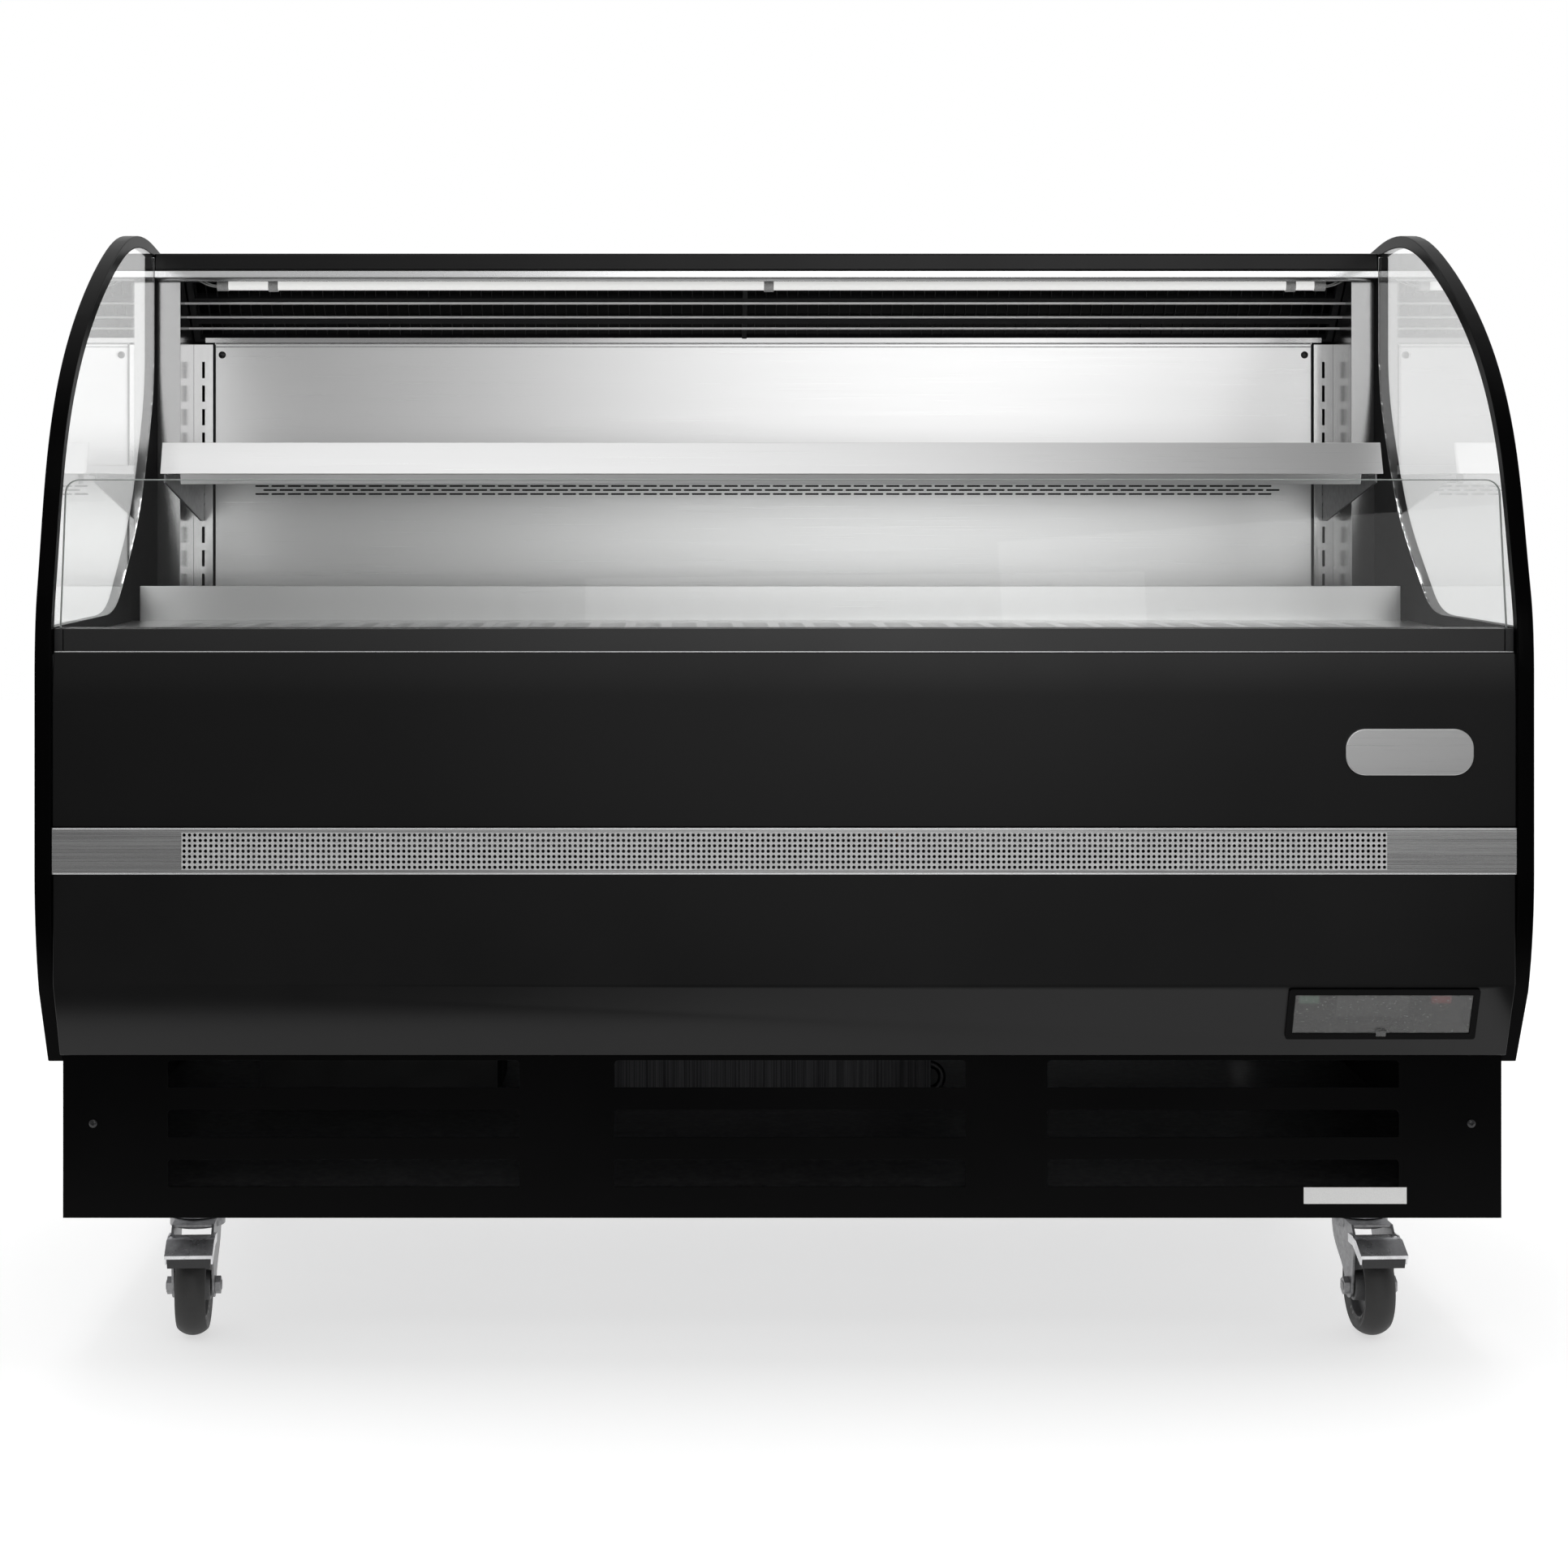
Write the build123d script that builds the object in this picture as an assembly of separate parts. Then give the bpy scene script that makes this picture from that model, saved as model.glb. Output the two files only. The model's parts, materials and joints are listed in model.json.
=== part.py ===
from build123d import *
import os
from math import hypot

os.makedirs("parts", exist_ok=True)

# Open refrigerated deli case on casters, in millimetres.
# X runs along the case, Y from the customer side (-) to the rear (+), Z up from the floor.
# The origin is on the floor, under the middle of the case.
# Outlines across the case are given as (depth, height), with depth counted from the front nose.

# ---- driving dimensions ----
WIDTH = 1511.0
DEPTH = 862.0
END_THICK = 16.5
END_TOP = 1171.0
END_APEX = 1186.0
END_BOTTOM = 298.0
EDGE_STRIP = 14.0
END_GLASS_THICK = 6.0
SHEET = 1.5
TRIM_SHEET = 1.2

BASE_FRONT = 61.0
BASE_BOTTOM = 138.0
BASE_TOP = 305.0
FRAME_BOTTOM = 130.0
RAIL_BOTTOM = 138.5
RAIL_HEIGHT = 21.5
RAIL_WIDTH = 40.0
BACK_SHEET = DEPTH - 2.0

LOUVRE_LENGTH = 361.0
LOUVRE_HEIGHT = 28.0
LOUVRE_PITCH = 51.0
LOUVRE_LOW = 184.0
LOUVRE_CENTRES = (-450.5, 8.0, 453.0)
LOUVRE_ROWS = 3

TUB_BOTTOM = 552.0
TUB_WALL = 40.0
TUB_FRONT = 12.0
TUB_BACK = 801.0
DECK_LEDGE = 730.5
TUB_RIM = 719.5
DECK_FRONT = 451.0
DECK_LIP_TOP = 774.0

SHELF_HEIGHT = 904.0
SHELF_LIP_TOP = 940.0
SHELF_FRONT = 395.0
SHELF_LEAN = 15.0
SHELF_LENGTH = 1394.0

BACK_PANEL = 722.0
BACK_PANEL_TOP = 1069.0
PILASTER_CENTRE = 699.0
PILASTER_WIDTH = 24.0
SLOT_WIDTH = 3.2
SLOT_LENGTH = 20.0
SLOT_PITCH = 29.4
TOP_SLOT = 1035.0
SLOT_COUNT = 11
POST_FRONT = 618.0
POST_INNER = 711.0

CANOPY_FRONT = 596.0
CANOPY_BOTTOM = 1150.0
LED_DEPTH = 635.0
LED_HEIGHT = 1135.0
LED_LENGTH = 1323.0
LED_CENTRE = 7.0
LED_RADIUS = 6.0
LED_CLIPS = (-600.0, 4.0, 640.0)

GLASS_THICK = 6.0
GLASS_FOOT = (25.0, 746.0)
GLASS_HEAD = (53.0, 897.0)
GLASS_CORNER = 14.0

SLOPE_TOP = (6.0, 387.0)
SLOPE_FOOT = (41.0, 309.0)
CONTROL_CENTRE = 606.5
CONTROL_LENGTH = 193.0
CONTROL_HEIGHT = 60.0
CONTROL_DROP = 4.0
CONTROL_RECESS = 22.0
COVER_OPENING = (180.0, 46.0)
RUNNING = 0.05

FAN_SHAFT = 4.0

CASTER_X = 617.0
CASTER_DEPTHS = {"front": 164.0, "rear": 760.0}
CASTER_YAW = 3.0
WHEEL_RADIUS = 50.8
WHEEL_WIDTH = 32.0
WHEEL_TRAIL = 34.0
AXLE_RADIUS = 5.0

# ---- derived values ----
HALF_DEPTH = DEPTH / 2
END_INNER = WIDTH / 2 - END_THICK
FRAME_TOP = RAIL_BOTTOM + RAIL_HEIGHT
TUB_FLOOR = TUB_BOTTOM + TUB_WALL
BODY_HALF = END_INNER
PANEL_HALF = BODY_HALF - 1.0


# ---- helpers ----
def block(x_range, depth_range, z_range):
    """A rectangular block between two depths, given by its ranges."""
    (x0, x1), (d0, d1), (z0, z1) = x_range, depth_range, z_range
    centre = Pos((x0 + x1) / 2, (d0 + d1) / 2 - HALF_DEPTH, (z0 + z1) / 2)
    return centre * Box(x1 - x0, d1 - d0, z1 - z0)


def spot(depth, height, x=0.0):
    """A point given by its depth and height."""
    return (x, depth - HALF_DEPTH, height)


def along_x(face, x0, x1):
    """A face that lies in the plane X = 0, drawn out from x0 to x1."""
    return Pos(x0, 0, 0) * extrude(face, x1 - x0, dir=(1, 0, 0))


def section(points, x0, x1):
    """A straight-sided outline of (depth, height) points, drawn out from x0 to x1."""
    outline = Polyline([spot(*point) for point in points], close=True)
    return along_x(make_face(outline), x0, x1)


def folded_sheet(points, thickness, half_length):
    """A folded sheet: the points are its outer side, and its metal lies on their left."""
    inner = []
    for index, point in enumerate(points):
        normals = []
        for start, end in zip(points[max(index - 1, 0):index + 1], points[max(index, 1):index + 2]):
            run = hypot(end[0] - start[0], end[1] - start[1])
            normals.append(((start[1] - end[1]) / run, (end[0] - start[0]) / run))
        first, last = normals[0], normals[-1]
        reach = thickness / (1 + first[0] * last[0] + first[1] * last[1])
        inner.append((point[0] + reach * (first[0] + last[0]), point[1] + reach * (first[1] + last[1])))
    return section(list(points) + inner[::-1], -half_length, half_length)


def mirrored(shape):
    """The same piece at the other end of the case."""
    return mirror(shape, about=Plane.YZ)


def both_ends(shape):
    return [shape, mirrored(shape)]


def rod(radius, length, place):
    """A cylinder along the local Z axis of the given place, starting there."""
    return place * Pos(0, 0, length / 2) * Cylinder(radius, length)


def facing(depth, height, x, turn):
    """A place at a point; turn is the rotation that lays the local Z axis down."""
    return Pos(*spot(depth, height, x)) * turn


TOWARDS_X = Rot(0, 90, 0)
TOWARDS_REAR = Rot(-90, 0, 0)


def save(name, *pieces):
    """Write one node: its pieces stay separate solids."""
    solids = []
    for piece in pieces:
        members = piece if isinstance(piece, (list, tuple)) else [piece]
        for member in members:
            solids += member.solids()
    whole = Compound(children=solids) if len(solids) > 1 else solids[0]
    export_step(whole, f"parts/{name}.step")


# ---- curved ends ----
ROOF_POINTS = [
    (700, END_TOP), (530, END_APEX), (267, 1109), (112, 997), (33, 853), (8, 765), (0, 685),
]
ROOF_STEPS = 8


def roof_curve(inset):
    """Curve over the roof and down the nose, moved inwards by the inset."""
    ends = [(0, -1, 0), (0, 0, -1)]
    outer = Spline([spot(*point) for point in ROOF_POINTS], tangents=ends)
    points = []
    for step in range(ROOF_STEPS + 1):
        share = step / ROOF_STEPS
        heading = outer % share
        points.append(outer @ share + inset * Vector(0, -heading.Z, heading.Y))
    return Spline(points, tangents=ends)


def end_outline(inset):
    """Outline of an end, moved inwards by the inset, as a face in the plane X = 0."""
    roof = roof_curve(inset)
    nose = Line(roof @ 1, spot(inset, 500))
    chin_end = spot(21 + 0.9 * inset, 377 + 0.45 * inset)
    chin = TangentArc(spot(inset, 500), chin_end, tangent=(0, 0, -1))
    low, top, back = END_BOTTOM + inset, END_TOP - inset, DEPTH - inset
    rest = Polyline(chin_end, spot(66 + 0.6 * inset, low), spot(back, low), spot(back, top), roof @ 0)
    return make_face([roof, nose, chin, rest])


def glazed_region():
    """Everything in front of and above the curved edge of the insulated end wall."""
    wall_edge = Spline(
        [spot(CANOPY_FRONT, 1050), spot(556, 938), spot(497, 857), spot(400, 783), spot(286, 747)],
        tangents=[(0, 0, -1), (0, -1, 0)],
    )
    rest = Polyline(
        spot(286, 747), spot(-50, 747), spot(-50, 1300), spot(CANOPY_FRONT, 1300),
        spot(CANOPY_FRONT, 1050),
    )
    return make_face([wall_edge, rest])


def curved_ends():
    whole = along_x(end_outline(0), 0, END_THICK)
    inside = along_x(end_outline(EDGE_STRIP), 0, END_THICK)
    glazed = along_x(glazed_region(), 0, END_THICK)
    place = Pos(END_INNER, 0, 0)
    strip = place * (whole - inside)
    pane = place * ((inside & glazed) & block((0, END_GLASS_THICK), (0, DEPTH), (0, 1300)))
    wall = place * (inside - glazed)
    for side, turn in (("right", lambda shape: shape), ("left", mirrored)):
        save(f"{side}_edge_profile", turn(strip))
        save(f"{side}_end_glass", turn(pane))
        save(f"{side}_end_wall", turn(wall))


# ---- base ----
def base_frame():
    """Welded rail frame with its tray, caster pads and four uprights."""
    front, back = BASE_FRONT + 3, BACK_SHEET - 3
    side = PANEL_HALF - 2
    rails = (RAIL_BOTTOM, FRAME_TOP)
    shape = block((-side, side), (front, front + RAIL_WIDTH), rails)
    shape += block((-side, side), (back - RAIL_WIDTH, back), rails)
    for x in (-side, -270.0, 230.0, side - RAIL_WIDTH):
        shape += block((x, x + RAIL_WIDTH), (front, back), rails)
    shape += block((-side, side), (front, back), (FRAME_TOP, FRAME_TOP + SHEET))
    for sign in (-1, 1):
        for depth in CASTER_DEPTHS.values():
            pad = block((-60, 60), (depth - 70, depth + 70), (FRAME_BOTTOM, RAIL_BOTTOM + 2))
            shape += Pos(sign * CASTER_X, 0, 0) * pad
        for depth in (78.0, back - RAIL_WIDTH):
            outer = sorted((sign * side, sign * (side - 35)))
            shape += block(outer, (depth, depth + RAIL_WIDTH), (FRAME_TOP, TUB_BOTTOM))
    return shape


def louvre_window(x, height):
    """One long window with rounded upper corners."""
    window = Box(LOUVRE_LENGTH, 20, LOUVRE_HEIGHT)
    upper = window.edges().filter_by(Axis.Y).sort_by(Axis.Z)[-2:]
    return Pos(*spot(BASE_FRONT, height, x)) * fillet(upper, 4)


def base_front_grille():
    """Front skirt with nine louvre windows and returns at its ends."""
    face = block((-BODY_HALF, BODY_HALF), (BASE_FRONT, BASE_FRONT + SHEET), (BASE_BOTTOM, BASE_TOP))
    for x in LOUVRE_CENTRES:
        for row in range(LOUVRE_ROWS):
            face -= louvre_window(x, LOUVRE_LOW + row * LOUVRE_PITCH)
    corner = block((BODY_HALF - SHEET, BODY_HALF), (BASE_FRONT, BASE_FRONT + 16), (BASE_BOTTOM, BASE_TOP - 8))
    return face + corner + mirrored(corner)


def base_side_panel():
    return block((BODY_HALF - SHEET, BODY_HALF), (BASE_FRONT + 16.5, BACK_SHEET - SHEET), (BASE_BOTTOM, 330))


def base_rear_grille():
    """Rear cover of the machine space, with six vents and the cord hole."""
    face = block((-PANEL_HALF, PANEL_HALF), (BACK_SHEET - SHEET, BACK_SHEET), (BASE_BOTTOM, TUB_BOTTOM - 1))
    for x in (-330.0, 330.0):
        for height in (260.0, 330.0, 400.0):
            vent = Pos(*spot(BACK_SHEET, height, x)) * Box(420, 20, 34)
            face -= fillet(vent.edges().filter_by(Axis.Y), 6)
    return face - rod(GLAND_RADIUS + 0.1, 20, gland_place(-10))


GLAND_RADIUS = 12.0
CORD_RADIUS = 5.5


def gland_place(offset):
    """A place on the axis of the cord hole, this far behind the rear cover."""
    return facing(BACK_SHEET + offset, 205, 620, TOWARDS_REAR)


def cord_gland():
    """Flanged ring that closes the cord hole in the rear cover."""
    shape = rod(GLAND_RADIUS, 10, gland_place(-10)) + rod(GLAND_RADIUS + 4, 1.8, gland_place(0))
    return shape - rod(CORD_RADIUS, 30, gland_place(-15))


# ---- machine space ----
SHELL_RADIUS = 78.0
PIPE_DEPTH = 760.0
PIPE_BEND = 18.0
COIL_TAP = 660.0
COIL_BACK = 680.0


def compressor():
    """Hermetic shell with domed ends, welded to a foot plate."""
    shell = Cylinder(SHELL_RADIUS, 190)
    shell = fillet(shell.edges(), 34)
    feet = Pos(0, 0, -99) * Box(190, 150, 8)
    terminal = Pos(-82, 0, 10) * Box(20, 46, 46)
    return Pos(*spot(PIPE_DEPTH, FRAME_TOP + SHEET + 103, 0)) * (shell + feet + terminal)


COIL_FINS = 24


def finned_coil(length, depth, height, bends):
    """A block of fins with end plates, and return bends standing out at both ends."""
    body = Box(length, depth, height)
    fin_pitch = (length - 20) / COIL_FINS
    for index in range(COIL_FINS):
        groove = Box(fin_pitch * 0.35, 3, height - 10)
        x = -length / 2 + 10 + (index + 0.5) * fin_pitch
        body -= Pos(x, -depth / 2, 0) * groove
    bend = Torus(height / bends / 4, 4.5) & Pos(25, 0, 0) * Box(50, 200, 50)
    for row in range(bends):
        z = (row + 0.5) * height / bends - height / 2
        body += Pos(length / 2, 0, z) * Rot(90, 0, 0) * bend
        body += Pos(-length / 2, 0, z) * Rot(90, 0, 180) * bend
    return body


def condenser_coil():
    return Pos(*spot(520, FRAME_TOP + SHEET + 150, 0)) * finned_coil(380, 44, 298, 5)


def fan_motor(radius, length):
    """Motor can with a bearing hole at its front; its local Z axis points at the fan."""
    can = Pos(0, 0, -length / 2) * Cylinder(radius, length)
    can = fillet(can.edges().sort_by(Axis.Z)[0], radius * 0.25)
    return can - Pos(0, 0, -8) * Cylinder(FAN_SHAFT + RUNNING, 16.2)


def fan_blades(hub_radius, tip_radius, blades, width):
    """Axial fan: hub, pitched blades, and the shaft that runs back into the motor."""
    hub = Pos(0, 0, width / 2) * Cylinder(hub_radius, width)
    shape = hub + Pos(0, 0, -7) * Cylinder(FAN_SHAFT, 16)
    span = tip_radius - hub_radius * 0.6
    for index in range(blades):
        blade = Box(span, hub_radius * 2.2, 2)
        placed = Pos(hub_radius * 0.6 + span / 2, 0, width / 2) * Rot(26, 0, 0) * blade
        shape += Rot(0, 0, index * 360 / blades) * placed
    return shape & Pos(0, 0, width / 2) * Cylinder(tip_radius, 4 * width)


CONDENSER_FAN = facing(574, FRAME_TOP + SHEET + 150, 0, Rot(90, 0, 0))


def condenser_fan_shroud():
    """Plate with the air ring, and the motor held by a bracket behind it."""
    centre_z = FRAME_TOP + SHEET + 150
    plate = block((-190, 190), (543, 546), (centre_z - 149, centre_z + 149))
    ring = rod(134, 14, facing(546, centre_z, 0, TOWARDS_REAR))
    bore = rod(130, 40, facing(530, centre_z, 0, TOWARDS_REAR))
    frame = (plate + ring) - bore
    bar = block((-17.5, 17.5), (596, 599), (centre_z - 149, centre_z + 149))
    for sign in (-1, 1):
        z = centre_z + sign * 145.5
        frame += block((-17.5, 17.5), (545, 599), (z - 3.5, z + 3.5))
    motor = CONDENSER_FAN * fan_motor(34, 60)
    return [frame + (bar - CONDENSER_FAN * Pos(0, 0, -30) * Cylinder(34, 60)), motor]


def condenser_fan():
    return CONDENSER_FAN * Pos(0, 0, 6) * fan_blades(24, 122, 5, 16)


def condensate_pan():
    """Shallow tray for melt water, on the machine tray."""
    low = FRAME_TOP + SHEET
    outer = block((-600, -320), (520, 720), (low, low + 60))
    return outer - block((-597, -323), (523, 717), (low + 3, low + 61))


PIPES = ({"radius": 6.0, "start": 300.0, "outer": 150.0, "bend": 470.0, "x": 60.0},
         {"radius": 4.0, "start": 250.0, "outer": 170.0, "bend": 510.0, "x": 100.0})


def refrigerant_pipes():
    """Suction and liquid lines from the compressor up into the cooling coil."""
    pipes = []
    for pipe in PIPES:
        start, outer, bend, x = pipe["start"], pipe["outer"], pipe["bend"], pipe["x"]
        route = FilletPolyline(
            spot(PIPE_DEPTH, start, SHELL_RADIUS), spot(PIPE_DEPTH, start, outer),
            spot(PIPE_DEPTH, bend, outer), spot(PIPE_DEPTH, bend, x), spot(PIPE_DEPTH, COIL_TAP, x),
            spot(COIL_BACK, COIL_TAP, x), radius=PIPE_BEND,
        )
        mouth = Plane(origin=route @ 0, z_dir=route % 0)
        pipes.append(sweep(mouth * Circle(pipe["radius"]), path=route))
    return pipes


# ---- cooling space ----
def insulated_tub():
    """Foam-filled trough with an open top, ledges for the deck and holes for the pipes."""
    outline = [
        (TUB_FRONT, TUB_BOTTOM), (TUB_FRONT, TUB_RIM), (450, TUB_RIM), (450, DECK_LEDGE),
        (TUB_BACK, DECK_LEDGE), (TUB_BACK, TUB_BOTTOM),
    ]
    inner_half = BODY_HALF - 38
    trough = section(outline, -BODY_HALF, BODY_HALF)
    trough -= block((-inner_half, inner_half), (TUB_FRONT + TUB_WALL, TUB_BACK + 1), (TUB_FLOOR, 800))
    for pipe in PIPES:
        trough -= rod(pipe["radius"] + 1, 60, Pos(*spot(PIPE_DEPTH, TUB_BOTTOM - 10, pipe["x"])))
    return trough


def evaporator_coil():
    return Pos(*spot(COIL_BACK - 95, TUB_FLOOR + 62, 0)) * finned_coil(1240, 190, 96, 2)


EVAPORATOR_FANS = {"left": -300.0, "right": 300.0}


def evaporator_fan_place(x):
    return facing(452, TUB_FLOOR + 64, x, Rot(90, 0, 0))


def evaporator_fan_plate():
    """Upright plate across the trough with two air rings and the two motors behind them."""
    plate = block((-690, 690), (436, 438), (TUB_FLOOR, 718))
    motors = []
    for x in EVAPORATOR_FANS.values():
        plate -= rod(56, 40, facing(420, TUB_FLOOR + 64, x, TOWARDS_REAR))
        place = evaporator_fan_place(x)
        arm = block((x - 5, x + 5), (438, 470), (TUB_FLOOR + 4, TUB_FLOOR + 8))
        post = block((x - 5, x + 5), (464, 470), (TUB_FLOOR + 8, TUB_FLOOR + 64))
        plate += arm + (post - place * Pos(0, 0, -15) * Cylinder(20, 30.01))
        motors.append(place * fan_motor(20, 30))
    return [plate] + motors


def evaporator_fan(x):
    return evaporator_fan_place(x) * Pos(0, 0, 5) * fan_blades(14, 52, 5, 10)


# ---- rear and roof ----
def rear_wall():
    return block((-BODY_HALF, BODY_HALF), (TUB_BACK + 0.5, BACK_SHEET), (TUB_BOTTOM, CANOPY_BOTTOM))


def canopy():
    """Insulated roof panel between the ends."""
    return block((-BODY_HALF, BODY_HALF), (CANOPY_FRONT, BACK_SHEET), (CANOPY_BOTTOM, END_TOP))


def light_rail():
    """Bright extrusion under the front of the canopy."""
    low = CANOPY_BOTTOM - 12
    front, back = CANOPY_FRONT + 0.5, CANOPY_FRONT + 16
    outline = [
        (front, CANOPY_BOTTOM), (front, CANOPY_BOTTOM - 8), (front + 6, low), (back, low),
        (back, CANOPY_BOTTOM),
    ]
    return section(outline, -BODY_HALF, BODY_HALF)


def led_tube():
    start = LED_CENTRE - LED_LENGTH / 2
    return rod(LED_RADIUS, LED_LENGTH, facing(LED_DEPTH, LED_HEIGHT, start, TOWARDS_X))


def led_holders():
    """Two end caps and three clips that hang from the canopy."""
    pieces = []
    for end in (-1, 1):
        x = LED_CENTRE + end * LED_LENGTH / 2
        start = x if end > 0 else x - 14
        pieces.append(rod(7, 14, facing(LED_DEPTH, LED_HEIGHT, start, TOWARDS_X)))
    tube = led_tube()
    for x in LED_CLIPS:
        clip = rod(8, 12, facing(LED_DEPTH, LED_HEIGHT, x - 6, TOWARDS_X))
        clip += block((x - 6, x + 6), (LED_DEPTH - 4, LED_DEPTH + 4), (LED_HEIGHT, CANOPY_BOTTOM))
        pieces.append(clip - tube)
    return pieces


def air_guard_rods():
    """Three thin bars between the side liners, in front of the air outlet."""
    places = ((651, 1114), (668, 1098), (683, 1085))
    return [rod(1.5, 2 * POST_INNER, facing(*place, -POST_INNER, TOWARDS_X)) for place in places]


def air_outlet_duct():
    """Slanting outlet frame between the rear duct and the canopy, with three long openings."""
    front_low, front_high = (720.0, 1070.0), (648.0, 1142.0)
    half = POST_INNER - 1
    back = [(point[0] + 8, point[1] + 8) for point in (front_high, front_low)]
    outline = [front_low, front_high] + back
    duct = section(outline, -half, half)
    joint = -24.0
    for row in range(3):
        share = (row + 0.5) / 3
        centre = (front_low[0] + (front_high[0] - front_low[0]) * share + 4,
                  front_low[1] + (front_high[1] - front_low[1]) * share + 4)
        for x0, x1 in ((-half + 8, joint - 3), (joint + 3, half - 8)):
            window = Box(x1 - x0, 26, 40)
            duct -= Pos(*spot(*centre, (x0 + x1) / 2)) * Rot(-45, 0, 0) * window
    return duct


def rear_duct_panel():
    """Stainless back panel of the display space, with returns along both upright edges."""
    panel = block((-685, 685), (BACK_PANEL, BACK_PANEL + TRIM_SHEET), (DECK_LEDGE, BACK_PANEL_TOP))
    edge = block((685 - TRIM_SHEET, 685), (BACK_PANEL, BACK_PANEL + 10), (DECK_LEDGE, BACK_PANEL_TOP))
    return panel + edge + mirrored(edge)


def corner_post():
    """Upright front face and the side liner behind it, folded from one sheet."""
    liner = section(
        [(POST_FRONT, DECK_LEDGE), (POST_FRONT, CANOPY_BOTTOM), (640, CANOPY_BOTTOM), (719, 1071),
         (719, DECK_LEDGE)],
        POST_INNER, POST_INNER + TRIM_SHEET,
    )
    face = block((POST_INNER, BODY_HALF), (POST_FRONT, POST_FRONT + TRIM_SHEET), (DECK_LEDGE, CANOPY_BOTTOM))
    return liner + face


def slot_heights():
    return [TOP_SLOT - index * SLOT_PITCH for index in range(SLOT_COUNT)]


def pilaster():
    """Channel with a row of upright slots for the shelf brackets."""
    x0 = PILASTER_CENTRE - PILASTER_WIDTH / 2
    x1 = x0 + PILASTER_WIDTH
    top = 1067
    channel = block((x0, x1), (719, 731), (DECK_LEDGE, top))
    channel -= block((x0 + SHEET, x1 - SHEET), (719 + SHEET, 740), (0, 2000))
    for height in slot_heights():
        channel -= Pos(*spot(720, height, PILASTER_CENTRE)) * Box(SLOT_WIDTH, 20, SLOT_LENGTH)
    return channel


# ---- shelf and deck ----
def shelf():
    """Flat shelf with a lip that leans back, a rear fold and a stiffener underneath."""
    half = SHELF_LENGTH / 2
    outline = [
        (716, SHELF_HEIGHT + 12), (716, SHELF_HEIGHT), (SHELF_FRONT, SHELF_HEIGHT),
        (SHELF_FRONT + SHELF_LEAN, SHELF_LIP_TOP),
    ]
    plate = folded_sheet(outline[::-1], TRIM_SHEET, half)
    channel = [
        (430, SHELF_HEIGHT), (436, SHELF_HEIGHT - 12), (464, SHELF_HEIGHT - 12), (470, SHELF_HEIGHT),
        (470 - TRIM_SHEET * 1.5, SHELF_HEIGHT), (463, SHELF_HEIGHT - 12 + TRIM_SHEET),
        (437, SHELF_HEIGHT - 12 + TRIM_SHEET), (430 + TRIM_SHEET * 1.5, SHELF_HEIGHT),
    ]
    return plate + section(channel, -680, 680)


def shelf_bracket():
    """Tapered arm with a ledge under the shelf and two hooks in the pilaster slots."""
    thick = 2.5
    top = SHELF_HEIGHT - 0.2
    slots = [height for height in slot_heights() if height < top - 10][:2]
    low = slots[-1] - 12
    outline = [(719, top), (440, top), (440, top - 10), (700, low), (719, low)]
    x0 = PILASTER_CENTRE - thick / 2
    arm = section(outline, x0, x0 + thick)
    arm += block((x0 - 8, x0), (445, 714), (top - 1.5, top))
    for height in slots:
        arm += block((x0, x0 + thick), (719, 724), (height - 7, height + 6))
    return arm


def deck_pan():
    """Display deck with an upright front lip and a low rear fold, notched round the posts."""
    outline = [
        (DECK_FRONT + 9, DECK_LIP_TOP), (DECK_FRONT, DECK_LIP_TOP), (DECK_FRONT, DECK_LEDGE + 0.3),
        (715, DECK_LEDGE + 0.3), (715, DECK_LEDGE + 14),
    ]
    pan = folded_sheet(outline, TRIM_SHEET, BODY_HALF - 9)
    notch = block((POST_INNER - 3, BODY_HALF), (POST_FRONT - 3, 730), (700, 800))
    return pan - notch - mirrored(notch)


def return_air_grille():
    """Wide front deck over the trough, where the air goes back in."""
    outline = [(449, TUB_RIM), (449, 734), (40, 734), (40, TUB_RIM)]
    return folded_sheet(outline, TRIM_SHEET, PANEL_HALF)


# ---- front ----
def front_glass_section():
    """Cross-section of the front glass, from the bottom of its groove to its top edge."""
    lean = (GLASS_HEAD[0] - GLASS_FOOT[0]) / (GLASS_HEAD[1] - GLASS_FOOT[1])
    foot = 728.0
    foot_depth = GLASS_FOOT[0] - lean * (GLASS_FOOT[1] - foot)
    return [
        (foot_depth, foot), GLASS_HEAD, (GLASS_HEAD[0] + GLASS_THICK, GLASS_HEAD[1]),
        (foot_depth + GLASS_THICK, foot),
    ]


def front_glass():
    pane = section(front_glass_section(), -PANEL_HALF + 3, PANEL_HALF - 3)
    corners = pane.edges().filter_by(Axis.Y).sort_by(Axis.Z)[-2:]
    return fillet(corners, GLASS_CORNER)


def front_rail():
    """Black extrusion that holds the foot of the front glass."""
    body = section([(11, 722.5), (11, 746), (39, 746), (39, 722.5)], -PANEL_HALF + 9, PANEL_HALF - 9)
    return body - section(front_glass_section(), -WIDTH, WIDTH)


def rail_end_cap():
    cap = section([(11, 722.5), (11, 746), (39, 746), (39, 722.5)], PANEL_HALF - 9, PANEL_HALF)
    return cap - section(front_glass_section(), -WIDTH, WIDTH)


def upper_front_panel():
    """Folded front panel; its upper strip leans back."""
    outline = [(24, 721.5), (8, 721.5), (4, 678), (4, 546.5), (24, 546.5)]
    return folded_sheet(outline, SHEET, PANEL_HALF)


def perforated_band():
    """Channel-shaped stainless band between the two front panels."""
    outline = [(20, 545.5), (2, 545.5), (2, 498.5), (20, 498.5)]
    return folded_sheet(outline, TRIM_SHEET, PANEL_HALF)


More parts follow.
